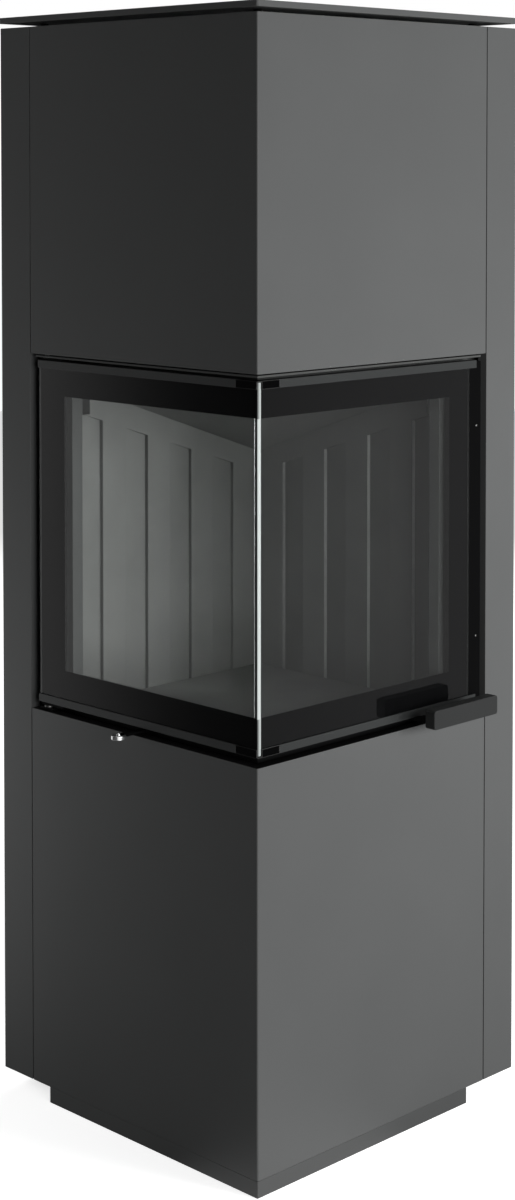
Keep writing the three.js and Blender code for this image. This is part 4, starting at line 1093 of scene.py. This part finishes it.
def pane_outline(length, thickness, end_arris, print_start):
    """A pane's plan outline as (distance from the near end, depth behind the outer face). It runs
    along the outer face to the near end, round that end's outer arris as a quarter circle, and
    back along the inner face, with a point where the far band of the print starts."""
    turn = np.linspace(0, math.pi / 2, 7 if end_arris > pane_arris else 2)
    arc = end_arris * (1 - np.stack([np.sin(turn), np.cos(turn)], axis=-1))
    a = pane_arris
    inner = [(0, thickness - a), (a, thickness), (print_start, thickness), (length - a, thickness)]
    far = [(length, thickness - a), (length, a)]
    return np.array([(length - a, 0), *arc.tolist(), *inner, *far]), len(turn) - 1


pane_materials = (glass, enamel, bright_edge, dull_edge, print_shaded_edge)
clear, printed, bright, dull, print_shaded = range(5)


def pane(name, node, along, across, print_start, end_arris, end_kinds):
    """A pane as a closed solid: its plan outline carried up through the levels where the print
    starts and ends, and drawn in by an arris at the bottom and the top.

    along and across are the plan axes of its length and its thickness, 0 or 1. end_kinds are
    the materials of the near end's outer arris, its face and its inner arris.
    """
    low, high = (np.array(corner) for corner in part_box(node))
    start, end = (high[0], low[0]) if along == 0 else (low[1], high[1])
    outside, inside = (low[1], high[1]) if across == 1 else (high[0], low[0])
    length, thickness = abs(end - start), abs(inside - outside)
    outline, bends = pane_outline(length, thickness, end_arris, abs(print_start - start))
    drawn = 0.7 * pane_arris
    narrow = np.clip(outline, drawn, np.array([length, thickness]) - drawn)
    heights = (low[2], low[2] + pane_arris, print_bottom, print_top, high[2] - pane_arris, high[2])
    points = np.zeros((len(heights), len(outline), 3))
    for level, height in enumerate(heights):
        plan = narrow if level in (0, len(heights) - 1) else outline
        points[level, :, along] = start + plan[:, 0] * math.copysign(1, end - start)
        points[level, :, across] = outside + plan[:, 1] * math.copysign(1, inside - outside)
        points[level, :, 2] = height
    points, faces = lofted(points)
    outer_arris, end_face, inner_arris = end_kinds
    sides = [clear] + [outer_arris] * bends + [end_face, inner_arris, clear, printed, dull, dull, dull]
    kinds = np.tile(sides, (len(heights) - 1, 1))
    kinds[[0, -1]] = dull
    inner_face = bends + 3
    # In the print's bands the bright ground faces take the variant with painted shade.
    for level in (1, 3):
        kinds[level, inner_face] = printed
        kinds[level][kinds[level] == bright] = print_shaded
    rounded = np.zeros(kinds.shape, bool)
    rounded[:, 1 : 1 + bends] = bends > 1
    mesh = bpy.data.meshes.new(name)
    mesh.from_pydata(points.tolist(), [], faces)
    for material in pane_materials:
        mesh.materials.append(material)
    mesh.polygons.foreach_set("material_index", [*kinds.ravel().tolist(), dull, dull])
    mesh.polygons.foreach_set("use_smooth", [*rounded.ravel().tolist(), False, False])
    work = bmesh.new()
    work.from_mesh(mesh)
    bmesh.ops.recalc_face_normals(work, faces=work.faces)
    work.to_mesh(mesh)
    work.free()
    made = bpy.data.objects.new(name, mesh)
    bpy.context.collection.objects.link(made)
    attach(made, "door")
    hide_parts(node)


pane("front_pane", "glass_front", 0, 1, front_print_start, pane_end_arris, (bright, bright, dull))
pane("flank_pane", "glass_flank", 1, 0, flank_print_start, pane_arris, (dull, clear, bright))


# ---------- Strip behind the corner joint ----------
# A thin steel angle lies in the corner behind the panes' joint, from rail to rail. The heat has
# turned it dark. Its rim is brazed to a bright wire that bears on the front pane.

joint_leg = 0.0041
joint_steel = 0.0005
joint_wire = 0.0008
joint_play = 0.0001
joint_end_play = 0.0003
joint_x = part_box("glass_flank")[0][0] - joint_play
joint_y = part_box("glass_front")[1][1] + joint_play
wire_x = joint_x - joint_leg + joint_wire
wire_y = joint_y + joint_wire
joint_plan = np.array([
    (wire_x, wire_y), (joint_x, wire_y), (joint_x, joint_y + joint_leg),
    (joint_x - joint_steel, joint_y + joint_leg), (joint_x - joint_steel, wire_y + joint_steel),
    (wire_x, wire_y + joint_steel),
])
wire_plan = circle_loop(joint_wire, 16)[0] + (wire_x, wire_y)
joint_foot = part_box("door_bottom_rail")[1][2] + joint_end_play
joint_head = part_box("door_top_rail")[0][2] - joint_end_play
joint_ends = np.array([joint_foot, joint_head])
joint_skins = [lofted(raised(np.stack([plan, plan]), joint_ends)) for plan in (joint_plan, wire_plan)]
joint_greys = ((0.02, 0.021, 0.022), (0.034, 0.035, 0.036))
joint_dark = speckled("heat_darkened_steel", *joint_greys, 0.0008, 0.5, 0.4, 0.00002)
joint_strip = add_piece("pane_joint_strip", join_skins(joint_skins), joint_dark, "door")
joint_strip.data.materials.append(bright_steel("joint_wire_steel", (0.8, 0.81, 0.81), 0.16, 0.000002))
wire_faces = np.arange(len(joint_strip.data.polygons)) >= len(joint_skins[0][1])
joint_strip.data.polygons.foreach_set("material_index", wire_faces.astype(int))


# ---------- Clamp strips ----------
# Strips of steel sheet, folded lengthwise and sprayed in a satin dark grey paint. They clamp the
# panes' upper and lower edges to the door's rails.

grey_paint = painted(
    "dark_grey_paint",
    colour=(0.026, 0.0275, 0.0275),
    spread=0.08,
    wear_and_highlight_colour=(0.06, 0.061, 0.061),
    wear_and_highlight_share=0.4,
    roughness=0.45,
    grain_depth=0.00004,
)
strips = [f"glass_strip_{face}_{end}" for face in ("front", "flank") for end in ("top", "bottom")]
finish_nodes(grey_paint, *strips)


# ---------- Latch cover's screws ----------
# Two small screws of bright steel with turned, domed heads. They go through the cover into the
# latch stile behind it.

cover_screw_profile = (
    (0.0012, -0.002), (0.0016, 0.0), (0.00155, 0.0004), (0.0013, 0.00075), (0.0009, 0.00095),
)
cover_screw_y = 0.1734
cover_screw_heights = (0.648, 0.939)
cover_screw_socket = 0.00055
cover_screw_depth = 0.0006
cover_screw = screw_rings(cover_screw_profile, cover_screw_socket, cover_screw_depth)
cover_spots = [(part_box("latch_cover")[1][0], cover_screw_y, height) for height in cover_screw_heights]
cover_skins = [lofted(place_rings(cover_screw, spot, "x")) for spot in cover_spots]
screw_steel = bright_steel("screw_steel", (0.5, 0.5, 0.49), 0.3, 0.000005)
add_piece("latch_cover_screws", join_skins(cover_skins), screw_steel, "door", sharp=40)


# ---------- Handle ----------
# A solid steel bar with rounded corners, in the same dark grey paint as the clamp strips. It is
# fixed on two bent brackets under the flank pane.

grip_paint = painted(
    "handle_grey_paint",
    colour=(0.0255, 0.0262, 0.0262),
    spread=0.08,
    wear_and_highlight_colour=(0.05, 0.051, 0.051),
    wear_and_highlight_share=0.5,
    roughness=0.55,
    grain_depth=0.00004,
    specular=0.12,
)
grip_corner = 0.0038
grip_rim = 0.0011
grip_low, grip_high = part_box("handle_bar")
grip_section = rectangle(grip_low[1], grip_low[2], grip_high[1], grip_high[2])
grip_loop = rounded_loop(grip_section, grip_corner, steps=8)
grip_wall = rimmed_rings(*grip_loop, *rim_levels(grip_low[0], grip_high[0], grip_rim))
walled_piece("handle_grip", "handle_bar", "x", [grip_wall], (0, 0, 0), grip_paint, "door")
